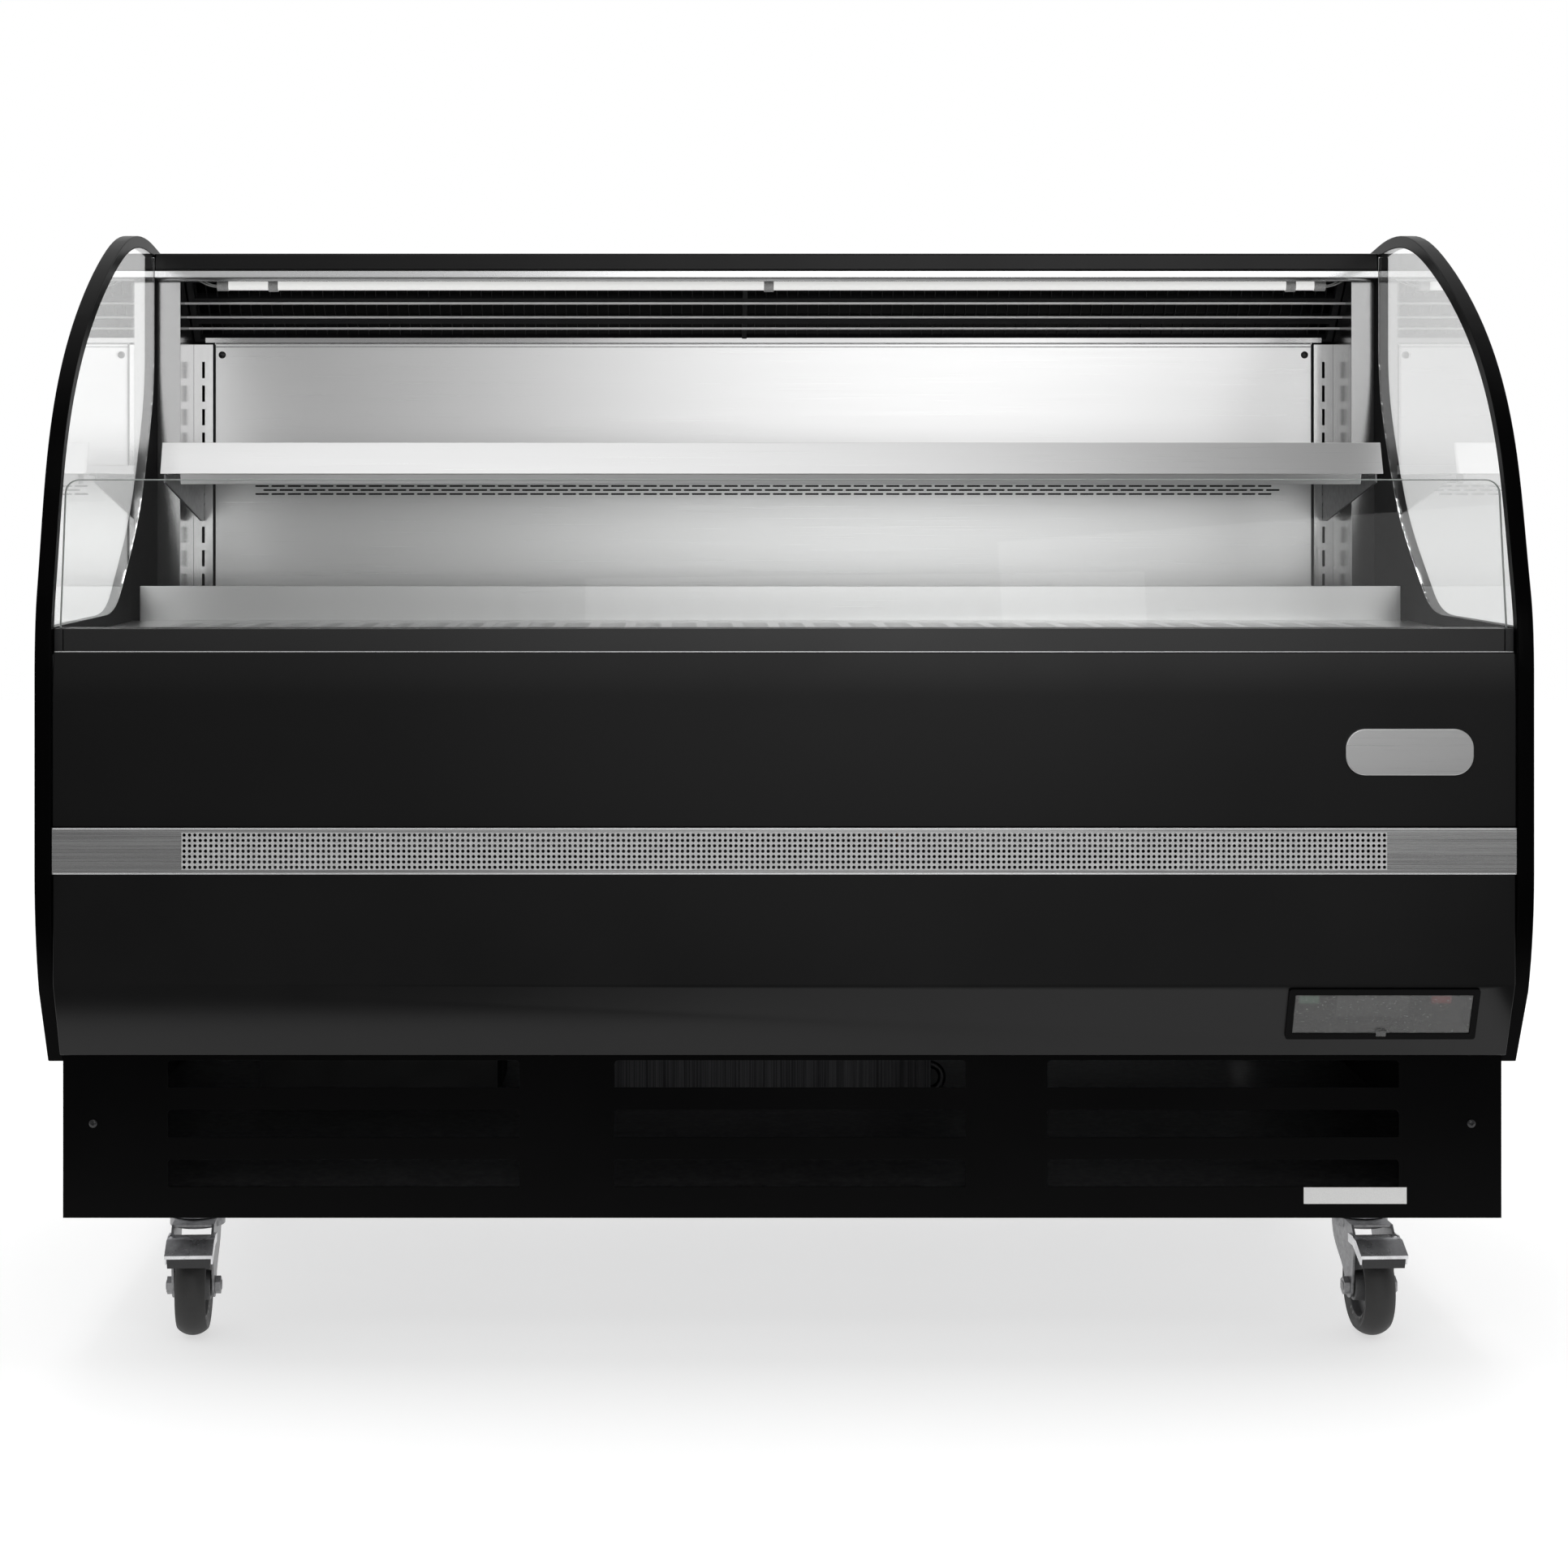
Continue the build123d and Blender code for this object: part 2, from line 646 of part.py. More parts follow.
def lower_front_panel():
    """Folded front panel whose lower part slopes back, with the control window cut in it."""
    outline = [(26, 497.5), SLOPE_TOP[:1] + (497.5,), SLOPE_TOP, SLOPE_FOOT, (59, SLOPE_FOOT[1])]
    panel = folded_sheet(outline, SHEET, PANEL_HALF)
    return panel - control_frame() * recess_block(0.5, -10, 10)


def badge_plate():
    """Blank name plate with rounded ends."""
    plate = Pos(*spot(2, 622, 630)) * Box(129, 4, 47)
    return fillet(plate.edges().filter_by(Axis.Y), 20)


# ---- control window ----
def control_frame():
    """Place of the control window: local Y runs up the slope and local Z points outwards."""
    down = (SLOPE_FOOT[0] - SLOPE_TOP[0], SLOPE_FOOT[1] - SLOPE_TOP[1])
    run = hypot(*down)
    outward = (0, down[1] / run, -down[0] / run)
    origin = spot(*SLOPE_TOP, CONTROL_CENTRE)
    return Plane(origin=origin, x_dir=(1, 0, 0), z_dir=outward).location


CONTROL_MIDDLE = -CONTROL_DROP - CONTROL_HEIGHT / 2
ROCKER_SIZE = (20.0, 13.0)
ROCKERS = {"light_switch": -70.0, "power_switch": 65.0}
ROCKER_MIDDLE = CONTROL_MIDDLE + 5
HINGE_DROP = 2.4
HINGE_OUT = 1.6


def recess_block(grow, low, high):
    """Block with the outer size of the recess box, grown all round, between two local heights."""
    length, height = COVER_OPENING
    size = (length + 2 * (SHEET + grow), height + 2 * (SHEET + grow))
    return Pos(0, CONTROL_MIDDLE, (low + high) / 2) * Box(*size, high - low)


def control_bezel():
    """Frame on the slope with a recessed box behind it, and wells for the two rockers."""
    length, height = COVER_OPENING
    flange = Pos(0, CONTROL_MIDDLE, 1.6) * Box(CONTROL_LENGTH, CONTROL_HEIGHT, 3.2)
    shape = fillet(flange.edges().filter_by(Axis.Z), 3) + recess_block(0, -CONTROL_RECESS - SHEET, 0)
    shape -= Pos(0, CONTROL_MIDDLE, 0) * Box(length, height, 2 * CONTROL_RECESS)
    for x in ROCKERS.values():
        well = Pos(x, ROCKER_MIDDLE, -CONTROL_RECESS - 6)
        shape += well * Box(ROCKER_SIZE[0] + 4, ROCKER_SIZE[1] + 4, 14)
        shape -= well * Pos(0, 0, 2) * Box(ROCKER_SIZE[0] + 1, ROCKER_SIZE[1] + 1.8, 14)
        pin_hole = Rot(0, 90, 0) * Cylinder(1.2 + RUNNING, ROCKER_SIZE[0] + 3)
        shape -= Pos(x, ROCKER_MIDDLE, -CONTROL_RECESS - 2.5) * pin_hole
    hinge_y = CONTROL_MIDDLE + height / 2 - HINGE_DROP
    shape -= Pos(0, hinge_y, HINGE_OUT) * Rot(0, 90, 0) * Cylinder(0.9 + RUNNING, length + 4)
    return control_frame() * shape


def control_cover():
    """Clear flap with hinge pins at its top corners and a latch tab at its lower edge."""
    length, height = COVER_OPENING
    top = CONTROL_MIDDLE + height / 2 - 0.8
    foot = CONTROL_MIDDLE - height / 2 + 0.6
    flap = Pos(0, (top + foot) / 2, HINGE_OUT) * Box(length - 1, top - foot, 1.6)
    hinge = Pos(0, CONTROL_MIDDLE + height / 2 - HINGE_DROP, HINGE_OUT) * Rot(0, 90, 0)
    pins = hinge * Cylinder(0.9, length + 3)
    riser = Pos(0, foot + 2, HINGE_OUT + 1.6) * Box(10, 3.5, 3)
    tab = Pos(0, foot + 0.5, HINGE_OUT + 2.7) * Box(10, 6.5, 1.4)
    return control_frame() * (flap + pins + riser + tab)


def rocker(x):
    """Rocker with two slightly tilted faces, on a cross pin."""
    width, height = ROCKER_SIZE
    profile = Polyline([
        (-height / 2, -3), (-height / 2, 4.5), (0, 3), (height / 2, 4.5), (height / 2, -3), (0, -4.5),
    ], close=True)
    body = extrude(Plane.YZ * make_face(profile), width / 2, both=True)
    body += Rot(0, 90, 0) * Cylinder(1.2, width + 2.6)
    return control_frame() * Pos(x, ROCKER_MIDDLE, -CONTROL_RECESS - 2.5) * body


def thermostat():
    """Controller with a blank dark window, fixed on the back of the recess."""
    case = Pos(-6, CONTROL_MIDDLE, -CONTROL_RECESS + 3) * Box(74, 30, 6)
    return control_frame() * fillet(case.edges().filter_by(Axis.Z), 3)


def panel_screws():
    """Round-headed screws on the skirt and on the back panel."""
    heads = []
    for x, depth, height in ((708, BASE_FRONT - 2, 235), (676, BACK_PANEL - 2, 1054)):
        for sign in (-1, 1):
            heads.append(rod(4.5, 2, facing(depth, height, sign * x, TOWARDS_REAR)))
    return heads


# ---- casters ----
def caster_place(side, depth):
    return Pos(*spot(depth, 0, side * CASTER_X)) * Rot(0, 0, CASTER_YAW)


def caster_plate(side, depth):
    """Mounting plate with the fixed raceway, kingpin and four bolts."""
    plate = Pos(0, 0, FRAME_BOTTOM - 2) * Box(100, 86, 4)
    plate = fillet(plate.edges().filter_by(Axis.Z), 8)
    race = Pos(0, 0, 122) * Cylinder(27, 8)
    kingpin = Pos(0, 0, 113) * Cylinder(6, 12) + Pos(0, 0, 106) * Cylinder(9, 2)
    body = plate + race + kingpin
    bolts = []
    for x in (-40, 40):
        for y in (-33, 33):
            bolts.append(Pos(x, y, 123.5) * extrude(RegularPolygon(6.5, 6), 2.5))
    place = Pos(*spot(depth, 0, side * CASTER_X))
    return [place * piece for piece in [body] + bolts]


FORK_INNER = 19.5
FORK_SHEET = 2.6


def fork_leg(x):
    """Side plate of the fork, from the swivel head down round the axle."""
    arch = Spline([(30, 117), (24, 92), (-20, 58)], tangents=[(0, -1), (-1, -1.2)])
    foot = ThreePointArc((-20, 58), (-WHEEL_TRAIL + 5, 38.5), (-WHEEL_TRAIL - 13, 52))
    rest = Polyline((-WHEEL_TRAIL - 13, 52), (-54, 92), (-54, 108), (-46, 117), (30, 117))
    face = Plane.YZ * make_face([arch, foot, rest])
    leg = extrude(face, FORK_SHEET)
    return Pos(x, 0, 0) * leg


def caster_fork(side, depth):
    """Pressed fork: swivel head, two legs, and the axle bolt with its nut."""
    outer = FORK_INNER + FORK_SHEET
    head = Pos(0, 0, 112.5) * Cylinder(29, 9)
    bridge = Pos(0, -20, 115.5) * Box(2 * outer, 52, 3)
    fork = head + bridge + fork_leg(FORK_INNER) + fork_leg(-outer)
    fork -= Pos(0, 0, 112) * Cylinder(6 + RUNNING, 30)
    fork -= Pos(0, 0, 106) * Cylinder(12, 5)
    fork -= Pos(0, 0, 118.5) * Cylinder(40, 1)
    axle_line = Pos(0, -WHEEL_TRAIL, WHEEL_RADIUS) * Rot(0, 90, 0)
    fork -= axle_line * Cylinder(AXLE_RADIUS, 80)
    fork -= Pos(0, -48, 104) * Rot(0, 90, 0) * Cylinder(3 + RUNNING, 80)
    axle = axle_line * Cylinder(AXLE_RADIUS, 2 * outer + 14)
    hexagon = extrude(RegularPolygon(9.5, 6), 6)
    axle += axle_line * Pos(0, 0, -outer - 6) * hexagon
    nut = axle_line * Pos(0, 0, outer) * (hexagon - Cylinder(AXLE_RADIUS, 40))
    place = caster_place(side, depth)
    return [place * fork, place * axle, place * nut]


def caster_wheel(side, depth):
    """Rubber tyre with a crowned tread on a hub that runs on the axle."""
    half = WHEEL_WIDTH / 2
    rim = WHEEL_RADIUS - 15
    tread = ThreePointArc((WHEEL_RADIUS - 7, half), (WHEEL_RADIUS, 0), (WHEEL_RADIUS - 7, -half))
    sides = Polyline((WHEEL_RADIUS - 7, -half), (rim, -half + 2), (rim, half - 2), (WHEEL_RADIUS - 7, half))
    tyre = revolve(Plane.XZ * make_face([tread, sides]), Axis.Z)
    outline = Polyline([
        (rim, half - 2), (rim - 4, half - 3), (rim - 6, 5), (16, 5), (15, half + 2),
        (AXLE_RADIUS + RUNNING, half + 2), (AXLE_RADIUS + RUNNING, -half - 2), (15, -half - 2),
        (16, -5), (rim - 6, -5), (rim - 4, -half + 3), (rim, -half + 2),
    ], close=True)
    hub = revolve(Plane.XZ * make_face(outline), Axis.Z)
    place = caster_place(side, depth) * Pos(0, -WHEEL_TRAIL, WHEEL_RADIUS) * Rot(0, 90, 0)
    return [place * tyre, place * hub]


def brake_pedal(side):
    """Foot pedal: bent plate with ears on a cross pin, and a rubber tread under its front edge."""
    outer = FORK_INNER + FORK_SHEET + 0.6
    pivot = Pos(0, -48, 104)
    pin = pivot * Rot(0, 90, 0) * Cylinder(3, 2 * outer + 4)
    outline = Polyline([
        (-58, 108), (-72, 107), (-92, 96), (-92, 92.5), (-71, 103.5), (-58, 104.5),
    ], close=True)
    plate = extrude(Plane.YZ * make_face(outline), outer + 2, both=True)
    ear_outline = Polyline([(-42, 108), (-60, 109), (-90, 96), (-88, 86), (-60, 99), (-43, 99)], close=True)
    ear = extrude(Plane.YZ * make_face(ear_outline), 2)
    body = pin + plate + Pos(outer, 0, 0) * ear + Pos(-outer - 2, 0, 0) * ear
    pad_outline = Polyline([(-91.5, 92), (-88.5, 82), (-82, 84), (-74, 100.5)], close=True)
    pad = extrude(Plane.YZ * make_face(pad_outline), outer - 0.5, both=True) - body
    place = caster_place(side, CASTER_DEPTHS["front"])
    return [place * body, place * pad]


def casters():
    plates = []
    for end, depth in CASTER_DEPTHS.items():
        for label, side in (("left", -1), ("right", 1)):
            plates += caster_plate(side, depth)
            save(f"caster_fork_{end}_{label}", caster_fork(side, depth))
            save(f"caster_wheel_{end}_{label}", caster_wheel(side, depth))
    save("caster_plates", plates)
    save("brake_pedal_left", brake_pedal(-1))
    save("brake_pedal_right", brake_pedal(1))


# ---- the whole case ----
curved_ends()
save("base_frame", base_frame())
save("base_front_grille", base_front_grille())
save("base_side_panels", both_ends(base_side_panel()))
save("base_rear_grille", base_rear_grille())
save("cord_gland", cord_gland())
save("compressor", compressor())
save("condenser_coil", condenser_coil())
save("condenser_fan_shroud", condenser_fan_shroud())
save("condenser_fan", condenser_fan())
save("condensate_pan", condensate_pan())
save("refrigerant_pipes", refrigerant_pipes())
save("insulated_tub", insulated_tub())
save("evaporator_coil", evaporator_coil())
save("evaporator_fan_plate", evaporator_fan_plate())
for label, x in EVAPORATOR_FANS.items():
    save(f"evaporator_fan_{label}", evaporator_fan(x))
save("rear_wall", rear_wall())
save("canopy", canopy())
save("light_rail", light_rail())
save("led_tube", led_tube())
save("led_holders", led_holders())
save("air_guard_rods", air_guard_rods())
save("air_outlet_duct", air_outlet_duct())
save("rear_duct_panel", rear_duct_panel())
save("corner_posts", both_ends(corner_post()))
save("pilasters", both_ends(pilaster()))
save("shelf", shelf())
save("shelf_brackets", both_ends(shelf_bracket()))
save("deck_pan", deck_pan())
save("return_air_grille", return_air_grille())
save("front_glass", front_glass())
save("front_rail", front_rail())
save("rail_end_caps", both_ends(rail_end_cap()))
save("upper_front_panel", upper_front_panel())
save("perforated_band", perforated_band())
save("lower_front_panel", lower_front_panel())
save("badge_plate", badge_plate())
save("control_bezel", control_bezel())
save("control_cover", control_cover())
for name, x in ROCKERS.items():
    save(name, rocker(x))
save("thermostat", thermostat())
save("panel_screws", panel_screws())
casters()
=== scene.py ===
"""Looks of the open refrigerated deli case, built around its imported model.

Metres, in the model's own frame: X along the case, -Y towards the customer, Z up from the floor.
"""

import json
import math

import bmesh
import bpy
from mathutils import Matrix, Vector


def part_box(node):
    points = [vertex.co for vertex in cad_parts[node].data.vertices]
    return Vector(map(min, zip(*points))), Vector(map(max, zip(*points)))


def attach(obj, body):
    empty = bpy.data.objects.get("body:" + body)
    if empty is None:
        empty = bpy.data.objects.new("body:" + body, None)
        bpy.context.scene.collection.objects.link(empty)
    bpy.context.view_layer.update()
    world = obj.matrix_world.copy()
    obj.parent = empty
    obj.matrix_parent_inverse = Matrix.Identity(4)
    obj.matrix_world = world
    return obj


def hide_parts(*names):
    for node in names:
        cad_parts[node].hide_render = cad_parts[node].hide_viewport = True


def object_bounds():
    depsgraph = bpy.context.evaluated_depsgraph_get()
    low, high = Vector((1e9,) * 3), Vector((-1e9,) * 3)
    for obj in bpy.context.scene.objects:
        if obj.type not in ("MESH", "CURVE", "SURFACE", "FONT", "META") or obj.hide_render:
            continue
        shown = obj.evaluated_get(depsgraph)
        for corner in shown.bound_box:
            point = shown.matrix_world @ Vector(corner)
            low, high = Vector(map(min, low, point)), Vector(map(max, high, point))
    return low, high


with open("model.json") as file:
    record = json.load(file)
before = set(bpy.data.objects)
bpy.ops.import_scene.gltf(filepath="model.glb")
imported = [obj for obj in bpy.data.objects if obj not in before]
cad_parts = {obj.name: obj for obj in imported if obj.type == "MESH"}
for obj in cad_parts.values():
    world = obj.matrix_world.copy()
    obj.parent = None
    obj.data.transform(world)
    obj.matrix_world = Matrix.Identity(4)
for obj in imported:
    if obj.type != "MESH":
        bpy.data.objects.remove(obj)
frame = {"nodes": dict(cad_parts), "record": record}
cad_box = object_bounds()

MM = 0.001
FRONT_Y = cad_box[0][1]
BODY = "cabinet"


# ---------------------------------------------------------------- materials
def set_input(shader, name, value):
    shader.inputs[name].default_value = value


class Surface:
    """A principled material under construction, with its object coordinates."""

    def __init__(self, name, colour, roughness, metallic=0.0):
        self.material = bpy.data.materials.new(name)
        self.material.use_nodes = True
        self.nodes = self.material.node_tree.nodes
        self.links = self.material.node_tree.links
        self.shader = self.nodes["Principled BSDF"]
        set_input(self.shader, "Base Color", (*colour, 1))
        set_input(self.shader, "Roughness", roughness)
        set_input(self.shader, "Metallic", metallic)
        self.place = self.nodes.new("ShaderNodeTexCoord").outputs["Object"]

    def noise(self, stretch, detail=3.0, roughness=0.55):
        """Noise whose cells are 1/stretch metres long on each axis."""
        mapping = self.nodes.new("ShaderNodeMapping")
        mapping.inputs["Scale"].default_value = stretch
        texture = self.nodes.new("ShaderNodeTexNoise")
        texture.inputs["Scale"].default_value = 1.0
        texture.inputs["Detail"].default_value = detail
        texture.inputs["Roughness"].default_value = roughness
        self.links.new(self.place, mapping.inputs["Vector"])
        self.links.new(mapping.outputs["Vector"], texture.inputs["Vector"])
        return texture.outputs["Fac"]

    def ramp(self, source, low, high):
        """Map a noise value onto a range of numbers."""
        node = self.nodes.new("ShaderNodeMapRange")
        node.inputs["From Min"].default_value = 0.3
        node.inputs["From Max"].default_value = 0.7
        node.inputs["To Min"].default_value = low
        node.inputs["To Max"].default_value = high
        self.links.new(source, node.inputs["Value"])
        return node.outputs["Result"]

    def tint(self, source, dark, light):
        """Colour between two tones, driven by a noise value."""
        node = self.nodes.new("ShaderNodeMix")
        node.data_type = "RGBA"
        node.inputs["A"].default_value = (*dark, 1)
        node.inputs["B"].default_value = (*light, 1)
        self.links.new(self.ramp(source, 0, 1), node.inputs["Factor"])
        self.links.new(node.outputs["Result"], self.shader.inputs["Base Color"])

    def gloss(self, source, low, high):
        self.links.new(self.ramp(source, low, high), self.shader.inputs["Roughness"])

    def bump(self, source, height_mm, strength=1.0):
        node = self.nodes.new("ShaderNodeBump")
        node.inputs["Distance"].default_value = height_mm * MM
        node.inputs["Strength"].default_value = strength
        previous = self.shader.inputs["Normal"].links
        if previous:
            self.links.new(previous[0].from_socket, node.inputs["Normal"])
        self.links.new(source, node.inputs["Height"])
        self.links.new(node.outputs["Normal"], self.shader.inputs["Normal"])


def powder_coat(name, specular):
    """Satin black paint with a fine orange peel and faint uneven gloss."""
    look = Surface(name, (0.0014, 0.0014, 0.0015), 0.34)
    cloud = look.noise((3, 3, 3), detail=4)
    look.tint(cloud, (0.0011, 0.0011, 0.0012), (0.0018, 0.0017, 0.0018))
    look.gloss(cloud, 0.29, 0.37)
    look.bump(look.noise((520, 520, 520), detail=2), 0.012, 0.5)
    set_input(look.shader, "Specular IOR Level", specular)
    return look.material


def textured_black():
    """Coarse textured black lining of the insulated end walls."""
    look = Surface("textured_black_lining", (0.01, 0.01, 0.0105), 0.78)
    grain = look.noise((700, 700, 700), detail=3)
    look.tint(grain, (0.003, 0.003, 0.003), (0.018, 0.018, 0.019))
    look.gloss(look.noise((9, 9, 9)), 0.7, 0.84)
    look.bump(grain, 0.12, 0.7)
    set_input(look.shader, "Specular IOR Level", 0.15)
    return look.material


ALONG = (3, 1400, 1400)
UPRIGHT = (1400, 1400, 3)


def brushed_steel(name, tone, low, high, grain=ALONG, contrast=0.035, relief=0.12):
    """Stainless sheet brushed in one direction, with soft cloudy gloss."""
    look = Surface(name, (tone, tone, tone), (low + high) / 2, metallic=1.0)
    streaks = look.noise(grain, detail=5, roughness=0.7)
    look.tint(streaks, (tone * (1 - contrast),) * 3, (tone * (1 + contrast),) * 3)
    look.gloss(streaks, low, high)
    look.bump(streaks, 0.01, relief)
    look.bump(look.noise((2.2, 2.2, 5)), 0.9, 0.02)
    return look.material


def pierced_steel():
    """Punched sheet, dull between its holes from the raised and worn rims."""
    look = Surface("punched_steel_field", (0.8, 0.8, 0.8), 0.45, metallic=0.35)
    wear = look.noise((120, 300, 300), detail=4)
    look.tint(wear, (0.72, 0.72, 0.72), (0.88, 0.88, 0.88))
    look.gloss(wear, 0.38, 0.52)
    look.bump(look.noise(ALONG, detail=4), 0.01, 0.2)
    return look.material


def bright_extrusion():
    look = Surface("bright_anodised_extrusion", (0.86, 0.865, 0.87), 0.2, metallic=1.0)
    lines = look.noise((2, 1800, 1800), detail=2)
    look.gloss(lines, 0.16, 0.26)
    look.bump(lines, 0.006, 0.4)
    return look.material


def rod_painted_highlight():
    """Steel rod with a near-white, mostly diffuse base: painted highlight, pale all round."""
    look = Surface("rod_with_painted_highlight", (1.0, 1.0, 1.0), 0.12, metallic=0.2)
    lines = look.noise((3, 900, 900), detail=2)
    look.gloss(lines, 0.08, 0.16)
    look.bump(lines, 0.006, 0.3)
    return look.material


def glass_edge_highlight():
    """Edge of toughened glass, a little green; its paleness is partly the ground finish and partly a
    painted highlight.
    """
    look = Surface("glass_edge_painted_highlight", (0.62, 0.66, 0.64), 0.4)
    look.gloss(look.noise((60, 60, 60)), 0.3, 0.5)
    look.bump(look.noise((700, 700, 700)), 0.02, 0.3)
    return look.material


def zinc_plate():
    """Zinc-plated pressed steel with its mottled sheen."""
    look = Surface("zinc_plate", (0.74, 0.74, 0.75), 0.28, metallic=1.0)
    mottle = look.noise((90, 90, 90), detail=5, roughness=0.65)
    look.tint(mottle, (0.6, 0.6, 0.61), (0.86, 0.865, 0.88))
    look.gloss(look.noise((40, 40, 40), detail=4), 0.2, 0.38)
    look.bump(mottle, 0.03, 0.35)
    return look.material


def dark_zinc():
    """The darker, rougher plating of the pressed fork; on the shelf brackets the same dark tone is
    painted shade under the shelf.
    """
    look = Surface("dark_zinc_plate_and_painted_shade", (0.3, 0.3, 0.305), 0.42, metallic=1.0)
    mottle = look.noise((120, 120, 120), detail=6, roughness=0.7)
    look.tint(mottle, (0.17, 0.17, 0.172), (0.43, 0.43, 0.44))
    look.gloss(mottle, 0.34, 0.55)
    look.bump(mottle, 0.05, 0.4)
    return look.material


def galvanised():
    """Galvanised sheet with a soft spangle."""
    look = Surface("galvanised_sheet", (0.42, 0.43, 0.44), 0.42, metallic=1.0)
    spangle = look.nodes.new("ShaderNodeTexVoronoi")
    spangle.inputs["Scale"].default_value = 85
    look.links.new(look.place, spangle.inputs["Vector"])
    look.tint(spangle.outputs["Distance"], (0.37, 0.375, 0.38), (0.4, 0.41, 0.42))
    look.gloss(look.noise((60, 60, 60)), 0.34, 0.55)
    look.bump(look.noise((400, 400, 400)), 0.02, 0.3)
    return look.material


def clear_glass(name, tint, index=1.5):
    look = Surface(name, tint, 0.02)
    set_input(look.shader, "Transmission Weight", 1.0)
    set_input(look.shader, "IOR", index)
    look.gloss(look.noise((5, 5, 5), detail=4), 0.0, 0.018)
    return look.material


def scuffed_acrylic():
    """Clear cover with the haze and hairline scratches of a thin moulding."""
    look = Surface("scuffed_clear_cover", (0.8, 0.8, 0.79), 0.1)
    set_input(look.shader, "Transmission Weight", 0.96)
    set_input(look.shader, "IOR", 1.49)
    look.gloss(look.noise((260, 260, 900), detail=5, roughness=0.7), 0.05, 0.3)
    look.bump(look.noise((300, 300, 300), detail=4), 0.03, 0.25)
    return look.material


def moulded(name, colour, low=0.38, high=0.55, height_mm=0.03):
    """Moulded plastic with a fine leather-like texture."""
    look = Surface(name, colour, (low + high) / 2)
    grain = look.noise((650, 650, 650), detail=2)
    look.tint(grain, tuple(0.86 * part for part in colour), tuple(1.14 * part for part in colour))
    look.gloss(look.noise((18, 18, 18)), low, high)
    look.bump(grain, height_mm, 0.4)
    return look.material


def tyre_rubber():
    """Dusty black rubber with faint scuffs round the tread."""
    look = Surface("tyre_rubber", (0.018, 0.018, 0.018), 0.55)
    dust = look.noise((55, 55, 55), detail=6, roughness=0.7)
    look.tint(dust, (0.008, 0.008, 0.008), (0.026, 0.0255, 0.025))
    look.gloss(dust, 0.45, 0.7)
    look.bump(look.noise((600, 600, 600), detail=3), 0.05, 0.4)
    return look.material


def lamp_diffuser():
    look = Surface("lamp_diffuser", (0.9, 0.9, 0.89), 0.35)
    look.gloss(look.noise((30, 30, 30)), 0.3, 0.42)
    look.bump(look.noise((6, 900, 900)), 0.01, 0.3)
    set_input(look.shader, "Emission Color", (1, 1, 0.98, 1))
    set_input(look.shader, "Emission Strength", 0.6)
    return look.material


def fin_stock():
    """Close dark-coated fins, drawn as fine upright lines in the surface."""
    look = Surface("fin_stock", (0.08, 0.08, 0.085), 0.4, metallic=1.0)
    fins = look.noise((900, 900, 4), detail=1)
    look.tint(fins, (0.03, 0.03, 0.032), (0.13, 0.13, 0.135))
    look.gloss(fins, 0.3, 0.5)
    look.bump(fins, 0.3, 0.6)
    return look.material


def copper():
    look = Surface("copper_tube", (0.72, 0.36, 0.22), 0.3, metallic=1.0)
    patina = look.noise((70, 70, 70), detail=5)
    look.tint(patina, (0.45, 0.21, 0.12), (0.8, 0.42, 0.26))
    look.gloss(patina, 0.2, 0.45)
    return look.material


def label_paper():
    look = Surface("label_paper", (0.85, 0.85, 0.84), 0.5)
    fibre = look.noise((900, 900, 900), detail=4)
    look.tint(fibre, (0.8, 0.8, 0.79), (0.88, 0.88, 0.87))
    look.bump(fibre, 0.01, 0.3)
    return look.material


PAINT = powder_coat("black_powder_coat", 0.34)
RAIL_PAINT = powder_coat("black_rail_paint", 0.75)
BASE_PAINT = powder_coat("black_base_paint", 0.06)
EDGE_PAINT = powder_coat("black_edge_trim", 0.03)
LINING = textured_black()
STEEL = brushed_steel("satin_steel_sheet", 0.77, 0.27, 0.31, contrast=0.012, relief=0.035)
BAND_STEEL = brushed_steel("brushed_steel_band", 0.66, 0.2, 0.34, contrast=0.12, relief=0.35)
# The uprights' stainless is toned darker than the back panel's: painted shade of the dim recess, on the
# corner posts and the outlet lip.
SHADED_UPRIGHT_STEEL = brushed_steel("satin_steel_upright_painted_shade", 0.42, 0.14, 0.2, grain=UPRIGHT)
PILASTER_STEEL = brushed_steel("satin_steel_pilaster", 0.58, 0.14, 0.2, grain=UPRIGHT)
PIERCED_STEEL = pierced_steel()
EXTRUSION = bright_extrusion()
ROD_HIGHLIGHT_STEEL = rod_painted_highlight()
GLASS_EDGE_HIGHLIGHT = glass_edge_highlight()
ZINC = zinc_plate()
DARK_ZINC_AND_SHADE = dark_zinc()
GALVANISED = galvanised()
END_GLASS = clear_glass("clear_end_glass", (0.985, 0.99, 0.988))
FRONT_GLASS = clear_glass("clear_front_glass", (0.985, 0.99, 0.987), index=1.28)
ACRYLIC = scuffed_acrylic()
BLACK_PLASTIC = moulded("moulded_black_plastic", (0.018, 0.018, 0.019))
GREY_PLASTIC = moulded("moulded_grey_plastic", (0.09, 0.09, 0.092))
WHITE_PLASTIC = moulded("moulded_white_plastic", (0.82, 0.82, 0.81), 0.25, 0.4)
RED_PLASTIC = moulded("moulded_red_rocker", (0.42, 0.035, 0.03), 0.25, 0.4)
GREEN_PLASTIC = moulded("moulded_green_rocker", (0.12, 0.3, 0.19), 0.25, 0.4)
RUBBER = tyre_rubber()
LAMP = lamp_diffuser()
FINS = fin_stock()
COPPER = copper()
LABEL = label_paper()
SHELL = moulded("black_enamel_shell", (0.014, 0.014, 0.015), 0.2, 0.35)

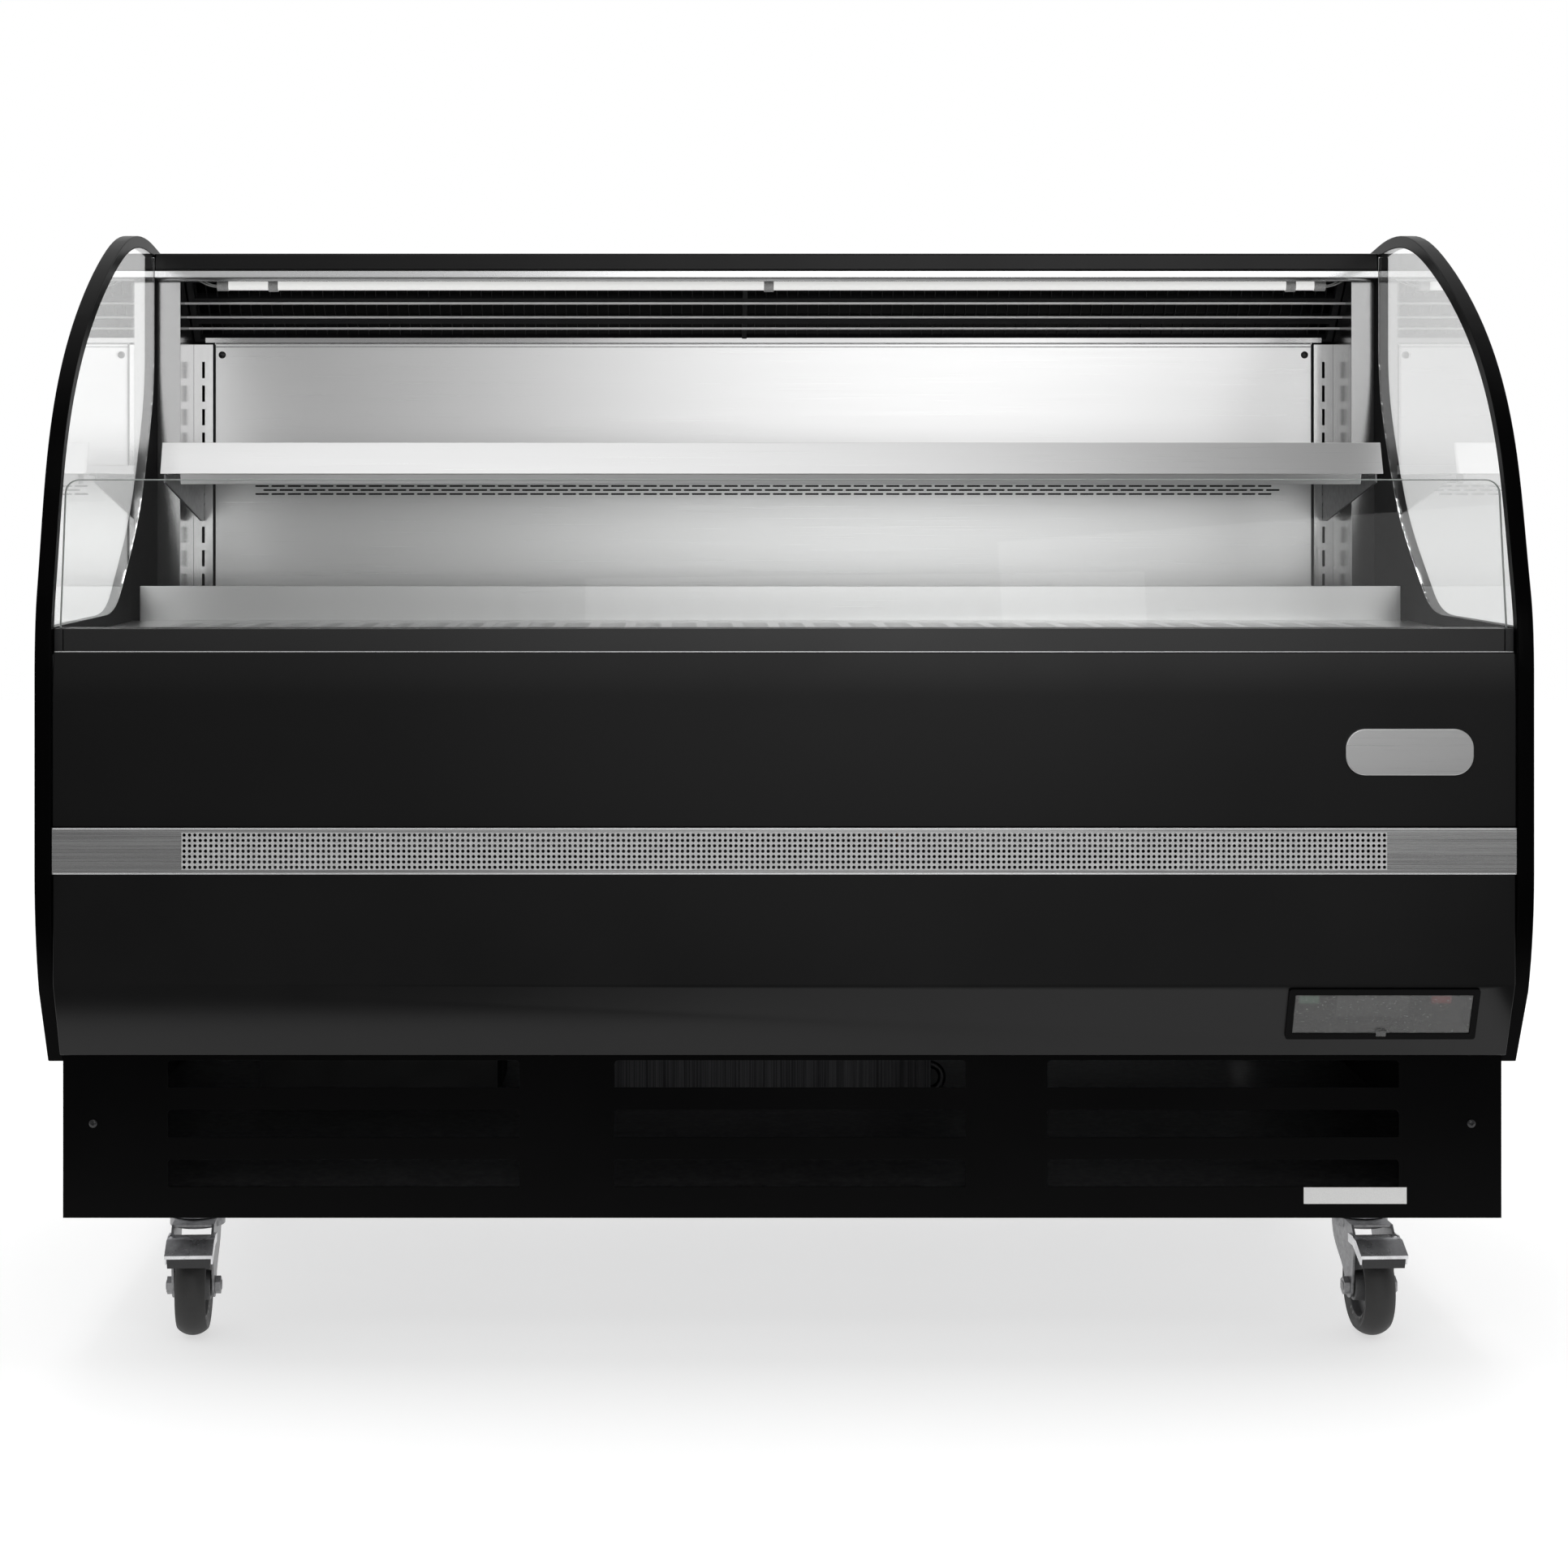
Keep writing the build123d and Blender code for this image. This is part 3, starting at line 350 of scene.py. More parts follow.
SLOT_LOOKS = {
    "black_paint": PAINT, "stainless": STEEL, "aluminium_trim": EXTRUSION, "zinc": ZINC,
    "galvanised": GALVANISED, "clear_glass": END_GLASS, "clear_plastic": ACRYLIC,
    "black_plastic": BLACK_PLASTIC, "white_plastic": WHITE_PLASTIC, "red_plastic": RED_PLASTIC,
    "green_plastic": GREEN_PLASTIC, "rubber_tyre": RUBBER, "black_shell": SHELL, "coil_fins": FINS,
    "copper_lines": COPPER, "badge": STEEL,
}
NODE_LOOKS = {
    "left_end_wall": LINING, "right_end_wall": LINING, "front_glass": FRONT_GLASS,
    # The corner posts take the darkened upright stainless: painted shade of the recess.
    "front_rail": RAIL_PAINT, "corner_posts": SHADED_UPRIGHT_STEEL, "pilasters": PILASTER_STEEL,
    # The shelf brackets' dark plating is painted shade under the shelf.
    "led_tube": LAMP, "air_guard_rods": ROD_HIGHLIGHT_STEEL, "base_frame": DARK_ZINC_AND_SHADE, "shelf_brackets": DARK_ZINC_AND_SHADE,
    "base_front_grille": BASE_PAINT, "base_side_panels": BASE_PAINT, "control_bezel": BASE_PAINT,
    "left_edge_profile": EDGE_PAINT, "right_edge_profile": EDGE_PAINT,
}
slot_of = {part["node"]: part["material_slot"] for part in frame["record"]["subparts"]}
body_of = {node: body for body, nodes in frame["record"]["behaviour"]["bodies"].items() for node in nodes}


def look_of(node):
    return NODE_LOOKS.get(node, SLOT_LOOKS[slot_of[node]])


# ---------------------------------------------------------------- mesh tools
HUB_SHARE = 0.72    # of the wheel's radius
PRISM_FACES = ((0, 1, 3, 2), (4, 6, 7, 5), (0, 4, 5, 1), (2, 3, 7, 6), (0, 2, 6, 4), (1, 5, 7, 3))


def add_piece(name, mesh, material, body=BODY, replaced=()):
    """Put a mesh in the scene as a piece that rides on a body."""
    piece = bpy.data.objects.new(name, mesh)
    bpy.context.scene.collection.objects.link(piece)
    mesh.materials.clear()
    mesh.materials.append(material)
    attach(piece, body)
    if replaced:
        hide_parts(*replaced)
    return piece


def mesh_from(name, bm):
    mesh = bpy.data.meshes.new(name)
    bmesh.ops.recalc_face_normals(bm, faces=bm.faces)
    bm.to_mesh(mesh)
    bm.free()
    return mesh


def apply_modifiers(mesh, **settings):
    """The mesh with the given modifiers applied; each setting is a modifier type and its values."""
    holder = bpy.data.objects.new("holder", mesh)
    bpy.context.scene.collection.objects.link(holder)
    for kind, values in settings.items():
        modifier = holder.modifiers.new(kind, kind)
        for key, value in values.items():
            setattr(modifier, key, value)
    graph = bpy.context.evaluated_depsgraph_get()
    result = bpy.data.meshes.new_from_object(holder.evaluated_get(graph))
    bpy.data.objects.remove(holder)
    return result


def shade(mesh, angle=35):
    for face in mesh.polygons:
        face.use_smooth = True
    mesh.set_sharp_from_angle(angle=math.radians(angle))
    return mesh


def clean_copy(node):
    """A welded copy of a model mesh without the edges inside its flat faces."""
    bm = bmesh.new()
    bm.from_mesh(frame["nodes"][node].data)
    bmesh.ops.remove_doubles(bm, verts=bm.verts, dist=2e-6)
    bmesh.ops.dissolve_limit(bm, angle_limit=math.radians(1.0), verts=bm.verts, edges=bm.edges)
    return bm


def islands(bm):
    """The connected groups of faces of a mesh."""
    todo = set(bm.faces)
    groups = []
    while todo:
        group = set()
        border = [todo.pop()]
        while border:
            face = border.pop()
            group.add(face)
            for edge in face.edges:
                for other in edge.link_faces:
                    if other in todo:
                        todo.discard(other)
                        border.append(other)
        groups.append(group)
    return groups


def bevelled(mesh, width_mm, segments=2):
    """Round the edges off, and keep the flat faces between them flat."""
    rounding = {"width": width_mm * MM, "segments": segments, "limit_method": "ANGLE",
                "angle_limit": math.radians(40), "use_clamp_overlap": True}
    flatness = {"mode": "FACE_AREA", "weight": 100, "keep_sharp": False}
    for face in mesh.polygons:
        face.use_smooth = True
    return apply_modifiers(mesh, BEVEL=rounding, WEIGHTED_NORMAL=flatness)


def soften(node, width_mm=0.5, material=None, segments=2):
    """Replace a model node by the same shape with its edges rounded off."""
    mesh = bevelled(mesh_from(node + "_shape", clean_copy(node)), width_mm, segments)
    name = node + "_finish"
    return add_piece(name, mesh, material or look_of(node), body_of[node], (node,))


def soften_islands(node, finishes, width_mm=0.5):
    """The same for a node of several solids: each solid, from the largest, gets its own finish."""
    bm = clean_copy(node)
    groups = sorted(islands(bm), key=lambda group: -sum(face.calc_area() for face in group))
    for index, (suffix, material) in enumerate(finishes):
        part = bmesh.new()
        copies = {}
        members = groups[index:] if index == len(finishes) - 1 else [groups[index]]
        for group in members:
            for face in group:
                corners = []
                for corner in face.verts:
                    if corner not in copies:
                        copies[corner] = part.verts.new(corner.co)
                    corners.append(copies[corner])
                part.faces.new(corners)
        mesh = bevelled(mesh_from(f"{node}_{suffix}", part), width_mm)
        add_piece(f"{node}_{suffix}", mesh, material, body_of[node], (node,))
    bm.free()


def finish_wheel(node):
    """Rubber tyre round a grey plastic hub, told apart by the distance from the axle."""
    wheel = soften(node, 0.8, RUBBER)
    wheel.data.materials.append(GREY_PLASTIC)
    low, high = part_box(node)
    middle = (low + high) / 2
    hub_reach = HUB_SHARE * (high.z - low.z) / 2
    for face in wheel.data.polygons:
        if (face.center - middle).length < hub_reach:
            face.material_index = 1


def add_prism(bm, places):
    """A solid with six faces round eight places, given in the order of a box's x, y and z corners."""
    corners = [bm.verts.new(place) for place in places]
    for face in PRISM_FACES:
        bm.faces.new([corners[index] for index in face])


def add_box(bm, low, high):
    """A box between two corners, added to a mesh under construction."""
    add_prism(bm, [(x, y, z) for x in (low[0], high[0]) for y in (low[1], high[1])
                   for z in (low[2], high[2])])


def add_disc_stack(bm, centre, axis, rings):
    """A turned shape: rings of (radius, distance along the axis), closed at both ends."""
    axis = Vector(axis).normalized()
    side = axis.orthogonal().normalized()
    other = axis.cross(side)
    count = 28
    loops = []
    for radius, distance in rings:
        loop = []
        for step in range(count):
            angle = 2 * math.pi * step / count
            offset = side * math.cos(angle) + other * math.sin(angle)
            loop.append(bm.verts.new(Vector(centre) + axis * distance + offset * radius))
        loops.append(loop)
    for first, second in zip(loops, loops[1:]):
        for step in range(count):
            after = (step + 1) % count
            bm.faces.new((first[step], first[after], second[after], second[step]))
    bm.faces.new(loops[0][::-1])
    bm.faces.new(loops[-1])


def tube(name, points, radius_mm, material, body=BODY):
    """A round wire or bead through the given points."""
    curve = bpy.data.curves.new(name, "CURVE")
    curve.dimensions = "3D"
    curve.bevel_depth = radius_mm * MM
    curve.bevel_resolution = 4
    spline = curve.splines.new("POLY")
    spline.points.add(len(points) - 1)
    for target, point in zip(spline.points, points):
        target.co = (*point, 1)
    holder = bpy.data.objects.new("holder", curve)
    bpy.context.scene.collection.objects.link(holder)
    mesh = bpy.data.meshes.new_from_object(holder)
    bpy.data.objects.remove(holder)
    return add_piece(name, shade(mesh, 60), material, body)


# ---------------------------------------------------------------- studio
CAMERA_X = -0.109
CAMERA_DISTANCE = 3.0
CAMERA_HEIGHT = 0.889
LENS = 68.4
SHIFT = (0.0688, -0.1894)


def add_camera():
    """Level camera in front of the case, a little left of its middle."""
    data = bpy.data.cameras.new("camera")
    data.lens = LENS
    data.sensor_width = 36
    data.shift_x, data.shift_y = SHIFT
    data.clip_end = 60
    camera = bpy.data.objects.new("camera", data)
    camera.location = (CAMERA_X, FRONT_Y - CAMERA_DISTANCE, CAMERA_HEIGHT)
    camera.rotation_euler = (math.radians(90), 0, 0)
    bpy.context.scene.collection.objects.link(camera)
    bpy.context.scene.camera = camera


def add_softbox(name, place, target, size, power, seen=True):
    data = bpy.data.lights.new(name, "AREA")
    data.shape = "RECTANGLE"
    data.size, data.size_y = size
    data.energy = power
    light = bpy.data.objects.new(name, data)
    light.location = place
    light.rotation_euler = (Vector(target) - Vector(place)).to_track_quat("-Z", "Y").to_euler()
    light.visible_glossy = seen
    light.visible_camera = False
    bpy.context.scene.collection.objects.link(light)


ROOM_TONES = (
    (-0.30, 0.03), (-0.12, 0.07), (-0.02, 0.33), (0.03, 0.58), (0.12, 0.46), (0.5, 0.18), (1.0, 0.3),
)


def add_world():
    """White behind the case; the room in front, which shows in the steel, is dark near the floor."""
    world = bpy.data.worlds.new("studio")
    bpy.context.scene.world = world
    world.use_nodes = True
    nodes, links = world.node_tree.nodes, world.node_tree.links
    split = nodes.new("ShaderNodeSeparateXYZ")
    links.new(nodes.new("ShaderNodeTexCoord").outputs["Generated"], split.inputs["Vector"])

    height = nodes.new("ShaderNodeMapRange")
    height.inputs["From Min"].default_value = -1
    links.new(split.outputs["Z"], height.inputs["Value"])
    tones = nodes.new("ShaderNodeValToRGB")
    marks = tones.color_ramp.elements
    while len(marks) < len(ROOM_TONES):
        marks.new(0.5)
    for mark, (rise, tone) in zip(marks, ROOM_TONES):
        mark.position = (rise + 1) / 2
        mark.color = (tone, tone, tone, 1)
    links.new(height.outputs["Result"], tones.inputs["Fac"])

    behind = nodes.new("ShaderNodeMapRange")
    behind.interpolation_type = "SMOOTHSTEP"
    behind.inputs["From Min"].default_value = -0.35
    behind.inputs["From Max"].default_value = 0.05
    links.new(split.outputs["Y"], behind.inputs["Value"])
    seen = nodes.new("ShaderNodeMath")
    seen.operation = "MAXIMUM"
    links.new(behind.outputs["Result"], seen.inputs[0])
    links.new(nodes.new("ShaderNodeLightPath").outputs["Is Camera Ray"], seen.inputs[1])
    mix = nodes.new("ShaderNodeMix")
    mix.data_type = "RGBA"
    mix.inputs["B"].default_value = (1, 1, 1, 1)
    links.new(seen.outputs["Value"], mix.inputs["Factor"])
    links.new(tones.outputs["Color"], mix.inputs["A"])
    links.new(mix.outputs["Result"], nodes["Background"].inputs["Color"])


FLOOR_FRONT = -1.02


def add_floor():
    """Wide pale floor, lit a little from below like a light table."""
    bm = bmesh.new()
    add_box(bm, (-15, FLOOR_FRONT, -0.0005), (15, 9, 0))
    floor = bpy.data.objects.new("floor", mesh_from("floor", bm))
    look = Surface("pale_floor", (0.6, 0.6, 0.6), 0.7)
    look.tint(look.noise((1.5, 1.5, 1.5)), (0.59, 0.59, 0.59), (0.61, 0.61, 0.61))
    set_input(look.shader, "Specular IOR Level", 0.2)
    set_input(look.shader, "Emission Color", (1, 1, 1, 1))
    set_input(look.shader, "Emission Strength", 0.58)
    floor.data.materials.append(look.material)
    bpy.context.scene.collection.objects.link(floor)


def add_studio():
    add_camera()
    add_world()
    add_floor()
    add_softbox("key_middle", (0.4, -5.2, 1.35), (0.2, 0, 0.8), (1.5, 2.2), 14)
    add_softbox("key_right", (1.5, -4.9, 1.75), (0.4, 0, 1.0), (1.5, 1.5), 8)
    add_softbox("high_front", (-0.45, -3.6, 4.2), (0, 0, 0.9), (3.1, 1.2), 18)
    add_softbox("top", (0, 0.4, 3.6), (0, 0.1, 0.9), (3.0, 2.0), 60, seen=False)
    bpy.context.scene.view_settings.view_transform = "Standard"


# ---------------------------------------------------------------- pierced sheets
TRIM_SHEET = 1.2 * MM


def circle_hole(radius, count=12):
    return [(radius * math.cos(2 * math.pi * (step + 0.5) / count),
             radius * math.sin(2 * math.pi * (step + 0.5) / count)) for step in range(count)]


def slot_hole(length, height, count=3):
    """A slot with round ends, counter-clockwise from its lower right arc."""
    radius = height / 2
    points = []
    for side, start in ((1, -90), (-1, 90)):
        for step in range(count + 1):
            angle = math.radians(start + 180 * step / count)
            x = side * (length / 2 - radius) + radius * math.cos(angle)
            points.append((x, radius * math.sin(angle)))
    return points


def add_cell(bm, put, centre, half, hole):
    """A rectangle of sheet round one hole; put turns sheet coordinates into a place."""
    corners = []
    for sx, sy in ((1, -1), (1, 1), (-1, 1), (-1, -1)):
        corners.append(bm.verts.new(put(centre[0] + sx * half[0], centre[1] + sy * half[1])))
    rim = [bm.verts.new(put(centre[0] + x, centre[1] + y)) for x, y in hole]
    nearest = []
    for x, y in hole:
        if x >= 0:
            nearest.append(1 if y >= 0 else 0)
        else:
            nearest.append(2 if y >= 0 else 3)
    count = len(hole)
    for index in range(count):
        after = (index + 1) % count
        first, second = nearest[index], nearest[after]
        if first == second:
            bm.faces.new((corners[first], rim[after], rim[index]))
        else:
            bm.faces.new((corners[first], corners[second], rim[after], rim[index]))


def add_plain(bm, put, low, high):
    corners = ((low[0], low[1]), (high[0], low[1]), (high[0], high[1]), (low[0], high[1]))
    bm.faces.new([bm.verts.new(put(x, y)) for x, y in corners])


def add_pierced_field(bm, put, x_range, y_range, columns, rows, pitch, hole, stagger=0.0):
    """A sheet with a centred field of holes and plain margins round it."""
    middle_x = (x_range[0] + x_range[1]) / 2
    middle_y = (y_range[0] + y_range[1]) / 2
    left = middle_x - columns * pitch[0] / 2
    low = middle_y - rows * pitch[1] / 2
    for row in range(rows):
        shift = stagger * (row % 2)
        y = low + (row + 0.5) * pitch[1]
        for column in range(columns):
            x = left + shift + (column + 0.5) * pitch[0]
            add_cell(bm, put, (x, y), (pitch[0] / 2, pitch[1] / 2), hole)
        ends = (left + shift, left + shift + columns * pitch[0])
        band = (y - pitch[1] / 2, y + pitch[1] / 2)
        add_plain(bm, put, (x_range[0], band[0]), (ends[0], band[1]))
        add_plain(bm, put, (ends[1], band[0]), (x_range[1], band[1]))
    top = low + rows * pitch[1]
    add_plain(bm, put, (x_range[0], y_range[0]), (x_range[1], low))
    add_plain(bm, put, (x_range[0], top), (x_range[1], y_range[1]))


def thicken(bm, name, thickness_mm, towards):
    """Give a flat pierced sheet its thickness, on the side that the direction points to."""
    bmesh.ops.remove_doubles(bm, verts=bm.verts, dist=2e-6)
    bm.normal_update()
    flipped = [face for face in bm.faces if face.normal.dot(Vector(towards)) > 0]
    bmesh.ops.reverse_faces(bm, faces=flipped)
    mesh = bpy.data.meshes.new(name)
    bm.to_mesh(mesh)
    bm.free()
    return apply_modifiers(mesh, SOLIDIFY={"thickness": thickness_mm * MM, "offset": -1.0})


def join_meshes(name, meshes):
    bm = bmesh.new()
    for mesh in meshes:
        bm.from_mesh(mesh)
    result = bpy.data.meshes.new(name)
    bm.to_mesh(result)
    bm.free()
    return result


def perforated_band():
    """Stainless band with its square grid of round holes and folded edges."""
    low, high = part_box("perforated_band")
    thick = TRIM_SHEET
    rows, columns, pitch = 7, 225, 5.4 * MM
    middle_z = (low.z + high.z) / 2
    field = (middle_z - rows * pitch / 2, middle_z + rows * pitch / 2)
    half = columns * pitch / 2

    pierced = bmesh.new()
    add_pierced_field(pierced, lambda x, z: (x, low.y, z), (-half, half), field,
                      columns, rows, (pitch, pitch), circle_hole(1.75 * MM))
    sheet = thicken(pierced, "band_field", 1.2, (0, 1, 0))
    add_piece("perforated_band_field", shade(sheet), PIERCED_STEEL, BODY, ("perforated_band",))

    margins = bmesh.new()
    add_box(margins, (low.x, low.y, field[1]), (high.x, low.y + thick, high.z))
    add_box(margins, (low.x, low.y, low.z), (high.x, low.y + thick, field[0]))
    for start, end in ((low.x, -half), (half, high.x)):
        add_box(margins, (start, low.y, field[0]), (end, low.y + thick, field[1]))
    add_box(margins, (low.x, low.y + thick, high.z - thick), high)
    add_box(margins, (low.x, low.y + thick, low.z), (high.x, high.y, low.z + thick))
    plain = mesh_from("band_margins", margins)
    add_piece("perforated_band_margins", plain, BAND_STEEL, BODY, ("perforated_band",))
    for label, z in (("top", high.z - 0.9 * MM), ("foot", low.z + 0.9 * MM)):
        edge = [(low.x + 1 * MM, low.y + 0.5 * MM, z), (high.x - 1 * MM, low.y + 0.5 * MM, z)]
        tube(f"band_fold_{label}", edge, 0.8, EXTRUSION)


def back_panel():
    """Stainless back panel with four rows of air slots and a doubled top fold."""
    low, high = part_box("rear_duct_panel")
    thick = TRIM_SHEET
    bm = bmesh.new()

    def put(x, z):
        return (x, low.y, z)

    slots = (0.8775, 0.8975)
    add_pierced_field(bm, put, (low.x, high.x), slots, 63, 4, (20.2 * MM, 5 * MM),
                      slot_hole(17.4 * MM, 2.2 * MM), stagger=10.1 * MM)
    add_plain(bm, put, (low.x, low.z), (high.x, slots[0]))
    add_plain(bm, put, (low.x, slots[1]), (high.x, high.z))
    face = thicken(bm, "back_face", 1.2, (0, 1, 0))
    folds = bmesh.new()
    for x in (low.x, high.x - thick):
        add_box(folds, (x, low.y + thick, low.z), (x + thick, high.y, high.z))
    panel = join_meshes("back_shape", [face, mesh_from("back_folds", folds)])
    add_piece("back_panel_sheet", shade(panel), STEEL, BODY, ("rear_duct_panel",))
    for label, z in (("upper", high.z - 1.2 * MM), ("lower", high.z - 5 * MM)):
        fold = [(low.x + 1 * MM, low.y - 0.2 * MM, z), (high.x - 1 * MM, low.y - 0.2 * MM, z)]
        tube(f"back_panel_fold_{label}", fold, 0.7, EXTRUSION)


def return_grille():
    """Front deck sheet with rows of long air slots."""
    low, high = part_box("return_air_grille")
    bm = bmesh.new()
    add_pierced_field(bm, lambda x, y: (x, y, high.z), (low.x, high.x), (low.y, high.y),
                      34, 22, (40 * MM, 14 * MM), slot_hole(30 * MM, 6 * MM))
    face = thicken(bm, "grille_face", 1.2, (0, 0, -1))
    folds = bmesh.new()
    thick = TRIM_SHEET
    for y in (low.y, high.y - thick):
        add_box(folds, (low.x, y, low.z), (high.x, y + thick, high.z - thick))
    sheet = join_meshes("grille_shape", [face, mesh_from("grille_folds", folds)])
    add_piece("return_air_grille_sheet", shade(sheet), STEEL, BODY, ("return_air_grille",))


# ---------------------------------------------------------------- details
LABEL_X = (0.5358, 0.6416)
LABEL_Z = (0.1525, 0.1695)
VANE_PITCH = 13 * MM
VANE_LINES = ((0.09, 0.31), (0.40, 0.60), (0.69, 0.91))
GLASS_CORNER = 14 * MM
GLASS_THICK = 6 * MM
VENT_SIDES = (-0.33, 0.33)
VENT_HEIGHTS = (0.26, 0.33, 0.4)
VENT_HALF = 0.2095
BLADES = 5
BLADE_PITCH = 7 * MM


def front_details():
    """Bright line under the rail and a blank label."""
    low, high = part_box("front_rail")
    reach, line_y, line_z = 8 * MM, low.y - 0.3 * MM, low.z - 0.2 * MM
    trim = [(low.x - reach, line_y, line_z), (high.x + reach, line_y, line_z)]
    tube("front_rail_bright_line", trim, 0.9, EXTRUSION)
    bm = bmesh.new()
    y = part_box("base_front_grille")[0].y
    add_box(bm, (LABEL_X[0], y - 0.25 * MM, LABEL_Z[0]), (LABEL_X[1], y, LABEL_Z[1]))
    label = bevelled(mesh_from("label_shape", bm), 0.1, 1)
    add_piece("blank_label", label, LABEL)


def dome_screws():
    """Round-headed screws in place of the plain heads."""
    bm = clean_copy("panel_screws")
    heads = islands(bm)
    shapes = bmesh.new()
    for head in heads:
        centre = Vector()
        corners = {corner for face in head for corner in face.verts}
        for corner in corners:
            centre += corner.co
        centre /= len(corners)
        back = max(corner.co.y for corner in corners)
        front = min(corner.co.y for corner in corners)
        start = Vector((centre.x, back, centre.z))
        rise = back - front
        dome = [(4.5, 0), (4.5, 0.3), (4.0, 0.62), (2.8, 0.9), (1.6, 1.0), (1.2, 0.6)]
        rings = [(radius * MM, share * rise) for radius, share in dome]
        add_disc_stack(shapes, start, (0, -1, 0), rings)
    bm.free()
    mesh = shade(mesh_from("screw_heads", shapes), 50)
    add_piece("screw_heads", mesh, SHELL, replaced=("panel_screws",))


def led_wires():
    """Short leads from both ends of the lamp up to the canopy."""
    low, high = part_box("led_holders")
    z = (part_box("led_tube")[0].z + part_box("led_tube")[1].z) / 2
    y = (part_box("led_tube")[0].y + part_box("led_tube")[1].y) / 2
    for label, x, way in (("left", low.x, -1), ("right", high.x, 1)):
        for index, drop in enumerate((0, 2)):
            points = []
            for step in range(13):
                share = step / 12
                lift = 14.5 * MM * share ** 2
                reach = way * (26 + 8 * index) * MM * share
                points.append((x + reach, y + drop * MM, z + lift - drop * MM * (1 - share)))
            tube(f"lamp_lead_{label}_{index}", points, 0.9, WHITE_PLASTIC)


def outlet_vanes():
    """Egg-crate vanes in the slanting air outlet."""
    low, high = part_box("air_outlet_duct")
    bm = bmesh.new()
    back, top = high.y - 8 * MM, high.z - 8 * MM
    count = int((high.x - low.x - 20 * MM) / VANE_PITCH)
    for step in range(count + 1):
        x = low.x + 10 * MM + step * VANE_PITCH
        for ends in VANE_LINES:
            front = [low.y + (back - low.y) * (1 - share) + 2 * MM for share in ends]
            height = [low.z + (top - low.z) * share + 2 * MM for share in ends]
            add_prism(bm, [(x + dx, front[index] + reach, height[index] + reach)
                           for dx in (-0.4 * MM, 0.4 * MM) for reach in (0, 5 * MM) for index in (0, 1)])
    add_piece("air_outlet_vanes", mesh_from("vane_shape", bm), BLACK_PLASTIC)


def front_glass_edges():
    """Pale strip along the front pane's edge, partly its ground finish and partly a painted highlight, up
    one side, round its corners and down the other.
    """
    low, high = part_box("front_glass")
    inset = 0.7 * MM
    reach = GLASS_CORNER - inset
    rail_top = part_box("front_rail")[1].z

    def place(x, z):
        share = (z - low.z) / (high.z - low.z)
        return (x, low.y + share * (high.y - GLASS_THICK - low.y) + GLASS_THICK / 2, z)

    points = [place(low.x + inset, rail_top)]
    for centre, first in ((low.x + GLASS_CORNER, 180), (high.x - GLASS_CORNER, 90)):
        for step in range(7):
            angle = math.radians(first - 15 * step)
            z = high.z - GLASS_CORNER + reach * math.sin(angle)
            points.append(place(centre + reach * math.cos(angle), z))
    points.append(place(high.x - inset, rail_top))
    tube("front_glass_edge_highlight", points, 0.7, GLASS_EDGE_HIGHLIGHT)


def outlet_lip():
    """Folded steel edge where the air outlet meets the back panel."""
    low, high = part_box("air_outlet_duct")
    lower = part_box("rear_duct_panel")[1].z
    bm = bmesh.new()
    front = high.y - 12 * MM
    add_box(bm, (low.x + 14 * MM, front, lower), (high.x - 14 * MM, front + 1 * MM, lower + 6 * MM))
    # The lip takes the darkened upright stainless, whose tone is painted shade.
    add_piece("air_outlet_lip", mesh_from("outlet_lip_shape", bm), SHADED_UPRIGHT_STEEL)


def painted_shadow_gaps():
    """Black strips between the back panel and the slotted uprights beside it: painted shadow in the gaps.
    """
    low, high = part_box("rear_duct_panel")
    for side, x in (("left", low.x), ("right", high.x)):
        shadow_line = [(x, low.y - 0.4 * MM, low.z + 2 * MM), (x, low.y - 0.4 * MM, high.z - 2 * MM)]
        tube(f"back_panel_shadow_gap_{side}", shadow_line, 1.1, BLACK_PLASTIC)


